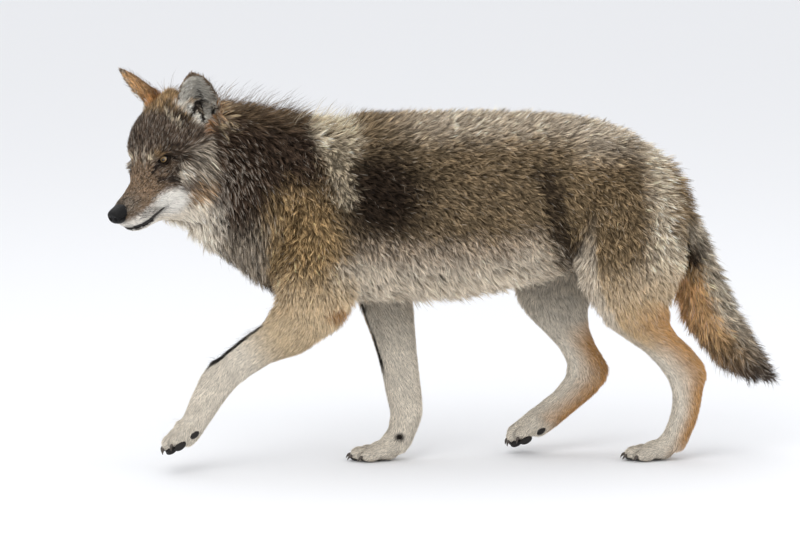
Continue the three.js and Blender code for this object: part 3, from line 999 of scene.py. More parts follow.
    def head(self) -> None:
        """Paints the face, the cheeks and the throat."""
        face = self.face
        hx, wide, hz = face.T
        share = ramp(self.site.of("head"), 0.3, 0.6)
        self.paint(share, Tone.FOREHEAD, 0.5, 0.16)
        self.paint(share * ramp(-hx, 45, 75) * ramp(hz, 45, 75), Tone.CROWN, 0.45, 0.15)
        self.paint(share * blob(face, (-58, 60, 66), (18, 18, 18), 0.5), Tone.SHADOW, 0.5, 0.1)
        self.paint(share * ramp(-hx, 10, 40) * ramp(wide, 66, 84) * ramp(-hz, -20, 10), Tone.RUFF, 0.5, 0.4)
        self.paint(share * ramp(hx, 8, 52), Tone.MUZZLE, 0.35, 0.08)
        self.paint(share * ramp(hx, 60, 120) * ramp(hz, -70, -40), Tone.BRIDGE, 0.3, 0.12)
        self.paint(0.7 * share * blob(face, (14, 50, -14), (18, 16, 9), 0.5), Tone.MUZZLE, 0.3, 0.1)
        under = streak(face, ((36, 45, -23), (26, 57, -28), (14, 70, -34)), 9.5)
        self.paint(0.8 * share * under, Tone.DARK, 0.3, 0.0)
        self.paint(share * blob(face, (4, 40, 22), (18, 18, 9), 0.5), Tone.BROW, 0.2, 0.1)
        self.paint(share * streak(face, ((34, 14, 12), (24, 8, 34), (14, 12, 50)), 6), Tone.RUFF, 0.2, 0.3)
        self.paint(share * blob(face, (25, 29, 21), (7, 8, 7), 0.7), Tone.LINE, 0.1, 0.1)
        self.paint(share * streak(face, ((-44, 0, 84), (-54, 30, 92), (-44, 76, 52)), 6), Tone.LINE, 0.2, 0.2)
        self.paint(share * blob(face, (-26, 84, -10), (20, 24, 10), 0.5), Tone.SHADOW, 0.4, 0.0)
        self.paint(share * blob(face, (-6, 84, -36), (14, 22, 17), 0.7), Tone.BELLY, 0.1, 0.3)
        self.paint(share * ramp(-hz, 60, 90) * ramp(-hx, -50, -20) * ramp(wide, 55, 80), Tone.TAN, 0.45, 0.15)
        self.paint(share * ramp(-hz - 0.35 * wide, 62, 90) * ramp(-hx, -110, -80), Tone.THROAT, 0.05, 0.2)
        self.paint(share * blob(face, (34, 48, -78), (38, 40, 27), 0.35), Tone.CHEEK, 0.0, 0.2)
        self.paint(share * ramp(hx, 58, 76) * ramp(-hz, 58, 72), Tone.LIP, 0.1, 0.1)
        self.paint(share * streak(face, ((6, 26, 0), (20, 28, -5), (42, 32, -7)), 6.5), Tone.DARK, 0.0, 0.0)
        behind = streak(face, ((-12, 38, 2), (-12, 56, -3), (-8, 68, -9)), 4.5)
        self.paint(share * behind, Tone.DARK, 0.0, 0.0)
        below = np.interp(hx, [x for x, _ in LIP_LINE[::-1]], [z for _, z in LIP_LINE[::-1]]) - hz
        jaw = ramp(below, -1, 2) * (1 - ramp(below, 7, 12)) * ramp(hx, 60, 80) * (1 - ramp(hx, 138, 146))
        self.paint(share * jaw, Tone.DARK, 0.0, 0.0)
        for root in WHISKER_ROOTS:
            gap = np.linalg.norm(face[:, [0, 2]] - np.array(root), axis=1)
            self.paint(share * (1 - ramp(gap, 0.8, 2.2)) * (wide > 8), Tone.DARK, 0.0, 0.0)

    def ears(self) -> None:
        """Paints the ears."""
        head = self.site.head
        for ear in EARS.values():
            mask = np.clip(1.6 * self.site.ear * ear.side, 0, 1)
            across, up, out = ear.measure(head).T
            bowl = ramp(self.site.normals @ ear.way(0, 0, 1), 0.0, 0.35)
            bowl = np.maximum(bowl, ramp(out, 0, 7) * (1 - ramp(up, 55, 75)))
            half = np.interp(up, (0, 30, 60, 90, 110, 124, 133), (38, 42, 42, 34, 26, 15, 6))
            rim = np.maximum(ramp(np.abs(across) / half, 0.82, 0.95), ramp(up, 120, 129))
            self.paint(mask, Tone.EAR, 0.25, 0.1)
            self.paint(mask * rim * (1 - bowl), Tone.RUFF, 0.5, 0.1)
            self.paint(mask * (1 - bowl) * (1 - ramp(up, 15, 75)), Tone.EAR_ROOT, 0.2, 0.0)
            self.paint(mask * bowl, Tone.EAR_BOWL, 0.0, 0.3)
            self.paint(mask * bowl * rim * ramp(up, 45, 70), Tone.MUZZLE, 0.3, 0.1)
        near = 1.0 - ramp(np.linalg.norm(self.face, axis=1), 205, 235)
        fringe = streak(self.face, ((-190, 46, 64), (-174, 80, 52), (-144, 110, 28), (-110, 122, 8)), 29)
        self.paint(near * fringe, Tone.FRINGE, 0.1, 0.2)
        below = streak(self.face, ((-102, 104, 31), (-128, 107, 34)), 25)
        self.paint(0.65 * near * below, Tone.EAR_ROOT, 0.1, 0.0)
        across, _, out = EARS["left"].measure(self.face).T
        self.paint(self.site.ear_front, Tone.CROWN, 0.5, 0.1)
        self.paint(self.site.ear_front * ramp(across - 0.6 * out, -38, -30), Tone.EAR_BOWL, 0.1, 0.2)
        # Painted shade: dark in the ears' canals and the creases that run from them.
        self.paint(self.canals(), Tone.DARK, 0.0, 0.0)

    def canals(self) -> Array:
        """Returns 1 where shade is painted in the ears' canals and the creases that run from them, at any
        depth.
        """
        inwards = unit(np.array([0.6, 0.67, 0.43]))
        flatten = np.eye(3) - np.outer(inwards, inwards)
        flat, middle = self.face @ flatten, (-105, 78, 79)
        dark = 1.0 - ramp(np.linalg.norm(flat - np.array(middle) @ flatten, axis=1), 6, 11)
        for crease, reach in (((middle, (-116, 76, 97)), 5.5), ((middle, (-82, 69, 61)), 7.0),
                              ((middle, (-87, 89, 38)), 5.0), (((-115, 100, 60), (-107, 99, 48)), 5.0)):
            dark = np.maximum(dark, streak(flat, np.array(crease, float) @ flatten, reach))
        dark *= 1 - ramp(np.linalg.norm(self.face - np.array((-100, 80, 66)), axis=1), 42, 50)
        facing = [ramp(self.site.normals @ ear.way(0, 0, 1), -0.4, 0.0)
                  * (self.site.head[:, 1] * ear.side > 0) for ear in EARS.values()]
        return dark * sum(facing)


# ---------------------------------------------------------------------------------------------------------
# Shading
# ---------------------------------------------------------------------------------------------------------


class Value:
    """A shader socket that can be used in Python sums."""

    def __init__(self, shading: "Shading", socket: bpy.types.NodeSocket) -> None:
        """Wraps a socket of a material."""
        self.shading = shading
        self.socket = socket

    def _math(self, operation: str, first: object, second: object) -> "Value":
        """Returns a Math node's result."""
        return self.shading.node("ShaderNodeMath", {"operation": operation}, {0: first, 1: second})

    def __add__(self, other: object) -> "Value":
        """Returns the sum."""
        return self._math("ADD", self, other)

    def __sub__(self, other: object) -> "Value":
        """Returns the difference."""
        return self._math("SUBTRACT", self, other)

    def __rsub__(self, other: object) -> "Value":
        """Returns the difference from something."""
        return self._math("SUBTRACT", other, self)

    def __mul__(self, other: object) -> "Value":
        """Returns the product."""
        return self._math("MULTIPLY", self, other)

    def __truediv__(self, other: object) -> "Value":
        """Returns the quotient."""
        return self._math("DIVIDE", self, other)

    __radd__ = __add__
    __rmul__ = __mul__


class Shading:
    """A material with a Principled shader and the making of its nodes."""

    def __init__(self, name: str) -> None:
        """Makes the material.

        Args:
            name: Its name.
        """
        self.material = bpy.data.materials.new(name)
        self.material.use_nodes = True
        self.tree = self.material.node_tree
        self.shader = self.tree.nodes["Principled BSDF"]

    def node(self, kind: str, settings: dict[str, object] | None = None,
             inputs: dict[int | str, object] | None = None, output: int | str = 0) -> Value:
        """Adds a node.

        Args:
            kind: The node's type.
            settings: Its properties.
            inputs: The values or links of its sockets.
            output: The socket that is used.

        Returns:
            The output socket.
        """
        node = self.tree.nodes.new(kind)
        for name, value in (settings or {}).items():
            if name == "stops":
                self.set_stops(node, value)
            else:
                setattr(node, name, value)
        for name, value in (inputs or {}).items():
            self.feed(node.inputs[name], value)
        return Value(self, node.outputs[output])

    @staticmethod
    def set_stops(node: bpy.types.Node, stops: Sequence[tuple[float, Sequence[float]]]) -> None:
        """Gives a colour ramp its stops."""
        elements = node.color_ramp.elements
        while len(elements) < len(stops):
            elements.new(1.0)
        for element, (position, color) in zip(elements, stops):
            element.position = position
            element.color = (*color, 1.0)

    def feed(self, socket: bpy.types.NodeSocket, value: object) -> None:
        """Links a socket or sets its value."""
        if isinstance(value, Value):
            self.tree.links.new(value.socket, socket)
        elif isinstance(value, np.ndarray):
            socket.default_value = (*value.tolist(), 1.0) if socket.type == "RGBA" else value.tolist()
        else:
            socket.default_value = value

    def set(self, **inputs: object) -> None:
        """Sets or links the shader's sockets, written with _ for a space."""
        for name, value in inputs.items():
            self.feed(self.shader.inputs[name.replace("_", " ")], value)

    def attribute(self, name: str, output: str = "Color") -> Value:
        """Returns an attribute of the mesh."""
        return self.node("ShaderNodeAttribute", {"attribute_name": name}, output=output)

    def place(self) -> Value:
        """Returns the Object coordinates."""
        return self.node("ShaderNodeTexCoord", output="Object")

    def noise(self, scale: float, detail: float = 2.0, vector: Value | None = None) -> Value:
        """Returns noise from 0 to 1."""
        inputs = {"Vector": vector or self.place(), "Scale": scale, "Detail": detail}
        return self.node("ShaderNodeTexNoise", None, inputs, "Fac")

    def mix(self, share: object, first: object, second: object, blend: str = "MIX") -> Value:
        """Returns a mix of two colours."""
        settings = {"data_type": "RGBA", "blend_type": blend}
        return self.node("ShaderNodeMix", settings, {0: share, 6: first, 7: second}, 2)

    def bump(self, height: Value, strength: float, distance: float) -> None:
        """Feeds a height to the shader's normal."""
        inputs = {"Strength": strength, "Distance": distance, "Height": height}
        self.set(Normal=self.node("ShaderNodeBump", None, inputs, "Normal"))


@dataclass(frozen=True)
class CoatFinish:
    """Hair in its own colours, with a little gloss."""

    roughness: float = 0.6
    gloss: float = 0.16

    def material(self) -> bpy.types.Material:
        """Returns the material."""
        shading = Shading("coat")
        shade = shading.noise(45.0, 3.0) * 0.5 + 0.75
        color = shading.mix(1.0, shading.attribute("coat"), shade, "MULTIPLY")
        shading.set(Base_Color=color, Roughness=self.roughness, Specular_IOR_Level=self.gloss)
        return shading.material


@dataclass(frozen=True)
class SkinFinish:
    """Skin with its short hair, in the colours stored on it: on the skin, the coat's colours darkened as
    painted shade.
    """

    roughness: float = 0.8
    gloss: float = 0.1

    def material(self) -> bpy.types.Material:
        """Returns the material."""
        shading = Shading("skin")
        grain = shading.noise(900.0, 4.0)
        color = shading.mix(1.0, shading.attribute("coat"), grain * 0.6 + 0.6, "MULTIPLY")
        shading.set(Base_Color=color, Roughness=self.roughness, Specular_IOR_Level=self.gloss)
        shading.bump(grain, 0.6, 0.0015)
        return shading.material


@dataclass(frozen=True)
class EyeFinish:
    """A wet eye: an amber iris with fine rays, a dark rim and a small pupil."""

    rings: tuple[tuple[float, str], ...] = (
        (0.0, "050404"), (0.17, "050404"), (0.2, "5f482a"), (0.3, "a9885a"), (0.46, "c8ae82"),
        (0.55, "86683e"), (0.6, "1a120a"), (0.7, "1a120a"), (0.85, "3c3029"))

    def material(self) -> bpy.types.Material:
        """Returns the material."""
        shading = Shading("eye")
        parts = shading.node("ShaderNodeSeparateXYZ", None, {0: shading.attribute("gaze", "Vector")})
        across, up = parts, Value(shading, parts.socket.node.outputs["Y"])
        reach = shading.node("ShaderNodeMath", {"operation": "SQRT"}, {0: across * across + up * up})
        ray = shading.node("ShaderNodeCombineXYZ", None, {"X": across / reach, "Y": up / reach})
        rays = shading.noise(14.0, 3.0, ray)
        stops = [(position, tint(code)) for position, code in self.rings]
        iris = shading.node("ShaderNodeValToRGB", {"stops": stops}, {"Fac": reach + (rays - 0.5) * 0.05})
        color = shading.mix(1.0, iris, rays * 0.8 + 0.6, "MULTIPLY")
        shading.set(Base_Color=color, Roughness=0.06, Coat_Weight=1.0, Coat_Roughness=0.02)
        return shading.material


@dataclass(frozen=True)
class LeatherFinish:
    """Bare black hide: the nose, the lips, the pads and the rims of the eyes.

    Attributes:
        name: The material's name.
        color: Its colour.
        roughness: How dull it is.
        grain: Cells in a metre.
        relief: Depth of the cells in metres.
        gloss: How much it shines.
    """

    name: str
    color: str
    roughness: float = 0.42
    grain: float = 700.0
    relief: float = 0.0006
    gloss: float = 0.35

    def material(self) -> bpy.types.Material:
        """Returns the material."""
        shading = Shading(self.name)
        cells = shading.node("ShaderNodeTexVoronoi", {"feature": "DISTANCE_TO_EDGE"},
                             {"Vector": shading.place(), "Scale": self.grain}, "Distance")
        mottle = shading.noise(160.0, 3.0)
        color = shading.mix(mottle, tint(self.color) * 0.6, tint(self.color) * 1.5)
        roughness = mottle * 0.25 + (self.roughness - 0.1)
        shading.set(Base_Color=color, Roughness=roughness, Specular_IOR_Level=self.gloss)
        shading.bump(cells, 0.7, self.relief)
        return shading.material


@dataclass(frozen=True)
class HornFinish:
    """Dark horn with streaks along it: claws and whiskers."""

    color: str = "2c2520"
    pale: str = "6b6055"

    def material(self) -> bpy.types.Material:
        """Returns the material."""
        shading = Shading("horn")
        streaks = shading.noise(420.0, 4.0)
        color = shading.mix(streaks * 0.6, tint(self.color), tint(self.pale))
        shading.set(Base_Color=color, Roughness=0.38, Specular_IOR_Level=0.5)
        shading.bump(streaks, 0.3, 0.0005)
        return shading.material


# ---------------------------------------------------------------------------------------------------------
# Skin
# ---------------------------------------------------------------------------------------------------------


@dataclass
class Skin:
    """The one skin under the coat.

    Attributes:
        grain: Size of the remesh's cells in millimetres.
        thin: Depth of the coat on ears and paws.
        share: Share of the faces that are kept at the end.
        shade: How dark the skin is against its hair: painted shade for the skin deep under the coat.
        fold: Depth of the fold along the mouth.
        cleft: Depth of the clefts between the toes.
        socket: Radius of the skin behind an eyeball, and round it under the lids.
        forms: Swellings of the face: middle, three reaches and height, in the head's frame.
        thing: The skin's object.
        site: What the coat needs to know at each point of the skin.
        tree: The skin's faces, for lines that meet them.
    """

    grain: float = 3.0
    thin: float = 1.4
    share: float = 0.3
    shade: float = 0.62
    fold: float = 2.2
    cleft: float = 2.6
    socket: tuple[float, float] = (9.0, 13.6)
    forms: tuple[tuple[Sequence[float], Sequence[float], float], ...] = (
        ((10, 26, 22), (16, 13, 8), 6.0),
        ((-8, 56, -20), (20, 14, 11), 3.0),
        ((-6, 0, 52), (34, 7, 30), -3.0),
        ((108, 18, -70), (20, 12, 9), 2.5),
        ((30, 30, -16), (14, 10, 7), -1.5),
        ((-92, 80, 66), (15, 13, 15), -9.0),
    )
    thing: bpy.types.Object = field(init=False)
    site: Site = field(init=False)
    tree: BVHTree = field(init=False)

    def build(self) -> bpy.types.Object:
        """Returns the finished skin."""
        flesh = [name for name in frame["nodes"] if name not in NOT_FLESH]
        self.thing = self.joined_copy(flesh)
        modify(self.thing, "REMESH", mode="VOXEL", voxel_size=self.grain * MM)
        self.sink()
        modify(self.thing, "REMESH", mode="VOXEL", voxel_size=self.grain * MM)
        self.sculpt()
        self.thin_out()
        smooth(self.thing)
        self.survey()
        self.tree = BVHTree.FromObject(self.thing, bpy.context.evaluated_depsgraph_get())
        # Painted shade: the skin takes the coat's colours darkened, for the shade deep under the hair.
        paint_points(self.thing.data, "coat", Markings(self.site).color * self.shade)
        return dress(self.thing, SkinFinish().material(), "coat_grizzled", *flesh)

    def joined_copy(self, nodes: Iterable[str]) -> bpy.types.Object:
        """Joins copies of nodes to one object.

        Args:
            nodes: Names of the nodes.

        Returns:
            The new object.
        """
        copies = []
        for name in nodes:
            node = bpy.data.objects[name]
            copy = node.copy()
            copy.data = node.data.copy()
            bpy.context.scene.collection.objects.link(copy)
            copies.append(copy)
        whole = join(copies, "skin")
        whole.data.materials.clear()
        return whole

    def near_node(self, points: Array, name: str, reach: float) -> Array:
        """Returns which points lie within a distance of a node's surface."""
        low, high = (WOLF.from_scene(np.array(corner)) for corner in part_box(name))
        inside = np.all((points > low - reach) & (points < high + reach), axis=1)
        tree = BVHTree.FromObject(bpy.data.objects[name], bpy.context.evaluated_depsgraph_get())
        found = np.zeros(len(points), bool)
        for k in np.nonzero(inside)[0]:
            found[k] = tree.find_nearest(Vector(WOLF.to_scene(points[k])), reach * MM)[0] is not None
        return found

    def ear_mask(self, points: Array, edges: Array, reach: float) -> Array:
        """Returns 1 on the left ear, -1 on the right one and 0 elsewhere, with soft edges."""
        mask = np.zeros(len(points))
        for name, side in SIDES.items():
            mask[self.near_node(points, f"ear_{name}", reach)] = side
        return evened(mask, edges, 6)

    def sink(self) -> None:
        """Moves the skin in from the tips of the coat by the coat's depth."""
        mesh = self.thing.data
        points, edges = points_of(mesh), edges_of(mesh)
        ear = self.ear_mask(points, edges, 2.0)
        even = evened(points, edges, 12)
        firm = np.clip(np.abs(ear) + self.face_mask(points), 0, 1)
        points += (1.0 - firm)[:, None] * (even - points)
        points = evened(points, edges, 2)
        set_points(mesh, points)
        normals = unit(evened(normals_of(mesh), edges, 4))
        broad = unit(evened(normals, edges, 30))
        depth = Site.survey(points, broad, ear).depth
        paws = np.zeros(len(points))
        for leg in LEGS:
            end, side = leg.split("_")
            paws[self.near_node(points, f"{end}paw_{side}", 2.0)] = 1.0
        thin = np.maximum(np.abs(ear), evened(paws, edges, 6))
        depth += np.clip(thin * 1.3, 0, 1) * (self.thin - depth)
        depth = evened(depth, edges, 6)
        ways = unit(broad + np.clip(thin * 1.3 + self.face_mask(points), 0, 1)[:, None] * (normals - broad))
        set_points(mesh, points - ways * depth[:, None])

    @staticmethod
    def face_mask(points: Array) -> Array:
        """Returns 1 on the face, from the eyes to the nose."""
        head = HEAD.local(points)
        near = 1.0 - ramp(np.linalg.norm(head, axis=1), 175, 200)
        return 0.75 * near * ramp(head[:, 0], -25, 5) * (1.0 - ramp(-head[:, 2], 110, 130))

    def sculpt(self) -> None:
        """Works the eye sockets, the brow, the cheeks and the mouth into the skin."""
        mesh = self.thing.data
        points, edges = points_of(mesh), edges_of(mesh)
        firm = np.clip(0.7 * np.abs(self.ear_mask(points, edges, 5.0)) + self.face_mask(points), 0, 1)
        points += (1.0 - firm)[:, None] * (evened(points, edges, 4) - points)
        set_points(mesh, points)
        head, ways = HEAD.local(points), HEAD.local_way(normals_of(mesh))
        face = np.stack([head[:, 0], np.abs(head[:, 1]), head[:, 2]], axis=1)
        near = np.linalg.norm(head, axis=1) < 200
        rise = sum(height * np.exp(-np.sum(((face - np.array(middle)) / np.array(reach)) ** 2, axis=1))
                   for middle, reach, height in self.forms)
        gap = gap_to_line(face[:, [0, 2]], np.array(LIP_LINE))
        rise -= self.fold * (1 - ramp(gap, 0.5, 4.0)) * ramp(face[:, 1], 4, 9)
        head += (rise * near)[:, None] * ways
        for orbit in ORBITS.values():
            reach, angle, _, _ = orbit.measure(head)
            oval = orbit.lid_share(head)
            behind, round_it = self.socket
            inner = behind + (round_it - behind) * ramp(oval, 0.75, 1.0)
            outer = np.maximum(reach, round_it + 0.05 * np.maximum(angle - 64, 0))
            target = np.where(oval < 1, inner, outer)
            share = (1 - ramp(reach, 26, 34)) * (angle < 115)
            factor = 1 + share * (target / np.maximum(reach, 1e-6) - 1)
            head = orbit.middle + (head - orbit.middle) * factor[:, None]
        points = np.where(near[:, None], HEAD.place(head), points)
        for paw in PAWS.values():
            place, ways = paw.local(points), normals_of(mesh)
            points -= (self.cleft * paw.clefts(place, 3.4))[:, None] * ways
        set_points(mesh, points)

    def thin_out(self) -> None:
        """Takes faces away everywhere but on the face, and leaves triangles."""
        points = points_of(self.thing.data)
        group = self.thing.vertex_groups.new(name="plain")
        plain = 1.0 - (self.face_mask(points) > 0.1)
        for weight in (0.0, 1.0):
            group.add(np.nonzero(plain == weight)[0].tolist(), weight, "REPLACE")
        modify(self.thing, "DECIMATE", ratio=self.share, vertex_group="plain")
        self.thing.vertex_groups.clear()
        modify(self.thing, "TRIANGULATE")

    def survey(self) -> None:
        """Works out the coat at each point of the skin."""
        mesh = self.thing.data
        points, edges = points_of(mesh), edges_of(mesh)
        normals = unit(evened(normals_of(mesh), edges, 2))
        self.site = Site.survey(points, normals, self.ear_mask(points, edges, 5.0))

    def meet(self, start: Sequence[float], way: Sequence[float]) -> Array:
        """Returns where a line from a place of the head meets the skin, in the head's frame."""
        origin = Vector(WOLF.to_scene(HEAD.place(np.array(start))))
        hit = self.tree.ray_cast(origin, Vector(HEAD.aim(np.array(way))))[0]
        return HEAD.local(WOLF.from_scene(np.array(hit)))


# ---------------------------------------------------------------------------------------------------------
# Coat
# ---------------------------------------------------------------------------------------------------------


@dataclass(frozen=True)
class Blade:
    """The make of a tuft.

    Attributes:
        rows: How far along the tuft its rows of points are.
        taper: Width of the tuft at each row but the tip.
        stands: How much of the coat's lift there is in each piece between two rows.
    """

    rows: tuple[float, ...]
    taper: tuple[float, ...]
    stands: tuple[float, ...]

    @property
    def order(self) -> list[int]:
        """Returns the corners of the tuft's faces, one after another."""
        quads = [[2 * k, 2 * k + 1, 2 * k + 3, 2 * k + 2] for k in range(len(self.taper) - 1)]
        last = 2 * len(self.taper)
        return sum(quads, []) + [last - 2, last - 1, last]


LONG = Blade((0.0, 0.36, 0.7, 1.0), (0.9, 1.0, 0.65), STANDS)
SHORT = Blade((0.0, 0.5, 1.0), (1.0, 0.8), (1.1, 0.6))

# slot: A slot name for its finish; not used.

class Region(Enum):
    """The pieces of the coat: the name, number of tufts, slot and make of the tufts of each."""

    HEAD = ("coat_head", 64_000, "coat_face", SHORT)
    EARS = ("coat_ears", 17_000, "coat_rust", SHORT)
    NECK = ("coat_neck", 35_000, "coat_dark", LONG)
    SHOULDERS = ("coat_shoulders", 38_000, "coat_dark", LONG)
    FLANK_LEFT = ("coat_flank_left", 26_000, "coat_grizzled", LONG)
    FLANK_RIGHT = ("coat_flank_right", 26_000, "coat_grizzled", LONG)
    RUMP_LEFT = ("coat_rump_left", 24_000, "coat_grizzled", LONG)
    RUMP_RIGHT = ("coat_rump_right", 24_000, "coat_grizzled", LONG)
    FORE_LEGS = ("coat_fore_legs", 40_000, "coat_cream", SHORT)
    HIND_LEGS = ("coat_hind_legs", 42_000, "coat_ochre", SHORT)
    TAIL = ("coat_tail", 20_000, "coat_rust", LONG)


@dataclass
class Coat:
    """Tufts of hair all over the skin.

    Attributes:
        skin: The finished skin.
        patch: Size of a tuft's patch on the map.
        seed: Start of the random numbers.
        lock: Number of tufts in a small clump.
        sheaf: Number of tufts in a large clump.
        guards: Share of guard hairs off the mane, and what the mane adds to it.
        width: Half the width of the shortest tuft, and what each millimetre of length adds to it.
    """

    skin: Skin
    patch: float = 0.003
    seed: int = 11
    lock: int = 6
    sheaf: int = 60
    guards: tuple[float, float] = (0.04, 0.08)
    width: tuple[float, float] = (0.31, 0.0085)

    def build(self) -> list[bpy.types.Object]:
        """Returns the pieces of the coat."""
        self.chance = np.random.default_rng(self.seed)
        mesh = self.skin.thing.data
        self.triangles = read(mesh.polygons, "vertices", 3, np.int32)
        points = self.skin.site.points
        a, b, c = (points[self.triangles[:, k]] for k in range(3))
        self.areas = 0.5 * np.linalg.norm(np.cross(b - a, c - a), axis=1)
        self.areas *= 1.0 - self.skin.site.bald[self.triangles].mean(axis=1)
        self.regions = self.sort_faces((a + b + c) / 3)
        material = CoatFinish().material()
        return [dress(self.grow(region), material, region.value[2]) for region in Region]

    def sort_faces(self, middles: Array) -> Array:
        """Returns the number of the region that each face belongs to."""
        site = self.skin.site
        share = site.share[self.triangles].mean(axis=1)
        ear = np.abs(site.ear[self.triangles]).mean(axis=1)
        x, y, z = middles.T
        names = list(Region)
        regions = np.full(len(x), names.index(Region.NECK))
        regions[x > -300] = names.index(Region.SHOULDERS)
        regions[(x > -70) & (y < 0)] = names.index(Region.FLANK_LEFT)
        regions[(x > -70) & (y >= 0)] = names.index(Region.FLANK_RIGHT)
        regions[(x > 215) & (y < 0)] = names.index(Region.RUMP_LEFT)
        regions[(x > 215) & (y >= 0)] = names.index(Region.RUMP_RIGHT)
        best = share.argmax(axis=1)
        for leg in LEGS:
            low = (best == LIMB_NAMES.index(leg)) & (z < 340)
            regions[low] = names.index(Region.FORE_LEGS if leg.startswith("fore") else Region.HIND_LEGS)
        regions[best == LIMB_NAMES.index("tail")] = names.index(Region.TAIL)
        regions[share[:, LIMB_NAMES.index("head")] > 0.5] = names.index(Region.HEAD)
        regions[ear > 0.5] = names.index(Region.EARS)
        return regions

    def unwrap(self, chosen: Array) -> Array:
        """Unwraps some of the skin's faces over the whole map.

        Args:
            chosen: Whether each face is unwrapped.

        Returns:
            The place on the map of each corner of the chosen faces.
        """
        thing = self.skin.thing
        mesh = thing.data
        mesh.uv_layers.new(name="unwrap")
        activate(thing)
        mesh.polygons.foreach_set("select", chosen)
        bpy.ops.object.mode_set(mode="EDIT")
        bpy.ops.mesh.select_mode(type="FACE")
        bpy.ops.uv.smart_project(angle_limit=math.radians(66), island_margin=0.0)
        bpy.ops.object.mode_set(mode="OBJECT")
        layer = mesh.uv_layers["unwrap"]
        places = read(layer.uv, "vector", 2).reshape(-1, 3, 2)[chosen]
        mesh.uv_layers.remove(layer)
        return places

    def grow(self, region: Region) -> bpy.types.Object:
        """Returns one piece of the coat."""
        name, count, _, blade = region.value
        chosen = self.regions == list(Region).index(region)
        corners = self.triangles[chosen]
        site = self.skin.site
        map_corners = self.unwrap(chosen)
        length = site.length[corners].mean(axis=1)
        weight = self.areas[chosen] / (10 + length)
        faces, shares = self.scatter(weight, count)
        roots = site.pick(corners[faces], shares)
        spots = np.sum(map_corners[faces] * shares[:, :, None], axis=1)
        return self.blades(name, blade, roots, spots)

    def scatter(self, weight: Array, count: int) -> tuple[Array, Array]:
        """Spreads places evenly over faces.

        Args:
            weight: How many places each face should get, in any unit.
            count: Number of places.

        Returns:
            The face of each place, and the shares of its three corners.
        """
        total = np.cumsum(weight)
        spread = (np.arange(count) + self.chance.random(count)) / count * total[-1]
        places = np.clip(np.searchsorted(total, spread), 0, len(weight) - 1)
        u, v = np.sqrt(self.chance.random(count)), self.chance.random(count)
        return places, np.stack([1 - u, u * (1 - v), u * v], axis=1)

    def clumps(self, roots: Array, spacing: int) -> Array:
        """Returns the number of the root that each root's clump gathers at."""
        leaders = self.chance.choice(len(roots), len(roots) // spacing, replace=False)
        tree = kdtree.KDTree(len(leaders))
        for k, leader in enumerate(leaders):
            tree.insert(roots[leader], k)
        tree.balance()
        return leaders[np.array([tree.find(root)[1] for root in roots])]

    def scattered(self, count: int, groups: Array, own: float, shared: float) -> Array:
        """Returns random numbers, partly the same within a group."""
        return own * self.chance.standard_normal(count) + shared * self.chance.standard_normal(count)[groups]

    def blades(self, name: str, blade: Blade, site: Site, spots: Array) -> bpy.types.Object:
        """Makes the tufts.

        Args:
            name: Name of the piece.
            blade: The make of the tufts.
            site: The tufts' roots.
            spots: The roots' places on the map.

        Returns:
            The piece.
        """
        count = len(site.points)
        chance = self.chance
        lock, sheaf = self.clumps(site.points, self.lock), self.clumps(site.points, self.sheaf)
        long = ramp(site.length, 9, 32)
        mane = site.mane
        calm = 1.0 - 0.5 * ramp(-site.points[:, 0], 300, 380)
        guard = (chance.random(count) < self.guards[0] + self.guards[1] * mane) & (lock != np.arange(count))
        length = site.length * (0.74 + 0.42 * chance.random(count)) * np.where(guard, 1.2 + 0.8 * mane, 1.0)
        lift = site.lift + (0.04 + 0.1 * long) * chance.standard_normal(count) + 0.5 * guard * mane
        lift = np.clip(lift + self.scattered(count, lock, 0.0, 0.16) * long, 0.08, 1.3)
        side = np.cross(site.flow, site.normals)
        swing = self.scattered(count, lock, 0.07, 0.15) * (0.6 + long)
        swing = (swing + self.scattered(count, sheaf, 0.0, 0.12) * long) * calm
        flow = unit(site.flow * np.cos(swing)[:, None] + side * np.sin(swing)[:, None])
        line = [site.points - 0.6 * site.normals]
        for step, stand in zip(np.diff(blade.rows), blade.stands):
            rise = np.clip(lift * stand, 0.0, 1.4)
            way = flow * np.cos(rise)[:, None] + site.normals * np.sin(rise)[:, None]
            line.append(line[-1] + way * (length * step)[:, None])
        tips = line[-1].copy()
        pull = long * (0.5 + 0.25 * chance.random(count)) * np.where(guard, 0.3, 1.0)
        pull *= 1 - 0.4 * site.of("head")
        curl = (self.scattered(count, lock, 0.05, 0.15) * long * length * calm)[:, None] * side
        for k, share in enumerate(blade.rows):
            line[k] = line[k] + (tips[lock] - tips) * pull[:, None] * share ** 1.4 + curl * share ** 2
        roll = (0.25 + 0.3 * long) * chance.standard_normal(count)
        across = unit(np.cross(line[-1] - line[0], site.normals))
        across = unit(across * np.cos(roll)[:, None] + site.normals * np.sin(roll)[:, None])
        half = (self.width[0] + self.width[1] * site.length) * (0.7 + 0.6 * chance.random(count))
        half *= 1 - 0.15 * guard * mane
        points = []
        for row, wide in zip(line, blade.taper):
            points += [row - across * (half * wide)[:, None], row + across * (half * wide)[:, None]]
        points.append(line[-1])
        shown = site.points + flow * (0.62 * length)[:, None]
        legs = sum(site.of(leg) for leg in LEGS)
        shown += chance.standard_normal((count, 3))[lock] * (2.2 - 1.5 * legs + 5.5 * long)[:, None]
        colors = self.colors(replace(site, points=shown), lock, sheaf, long, guard & (mane > 0.3))
        kept = [[0, 1, 2, 3], [0, 2, 3]][len(blade.taper) == 2]
        return self.mesh(name, blade, np.stack(points, axis=1), colors[:, np.repeat(kept, 2)[:-1]], spots)

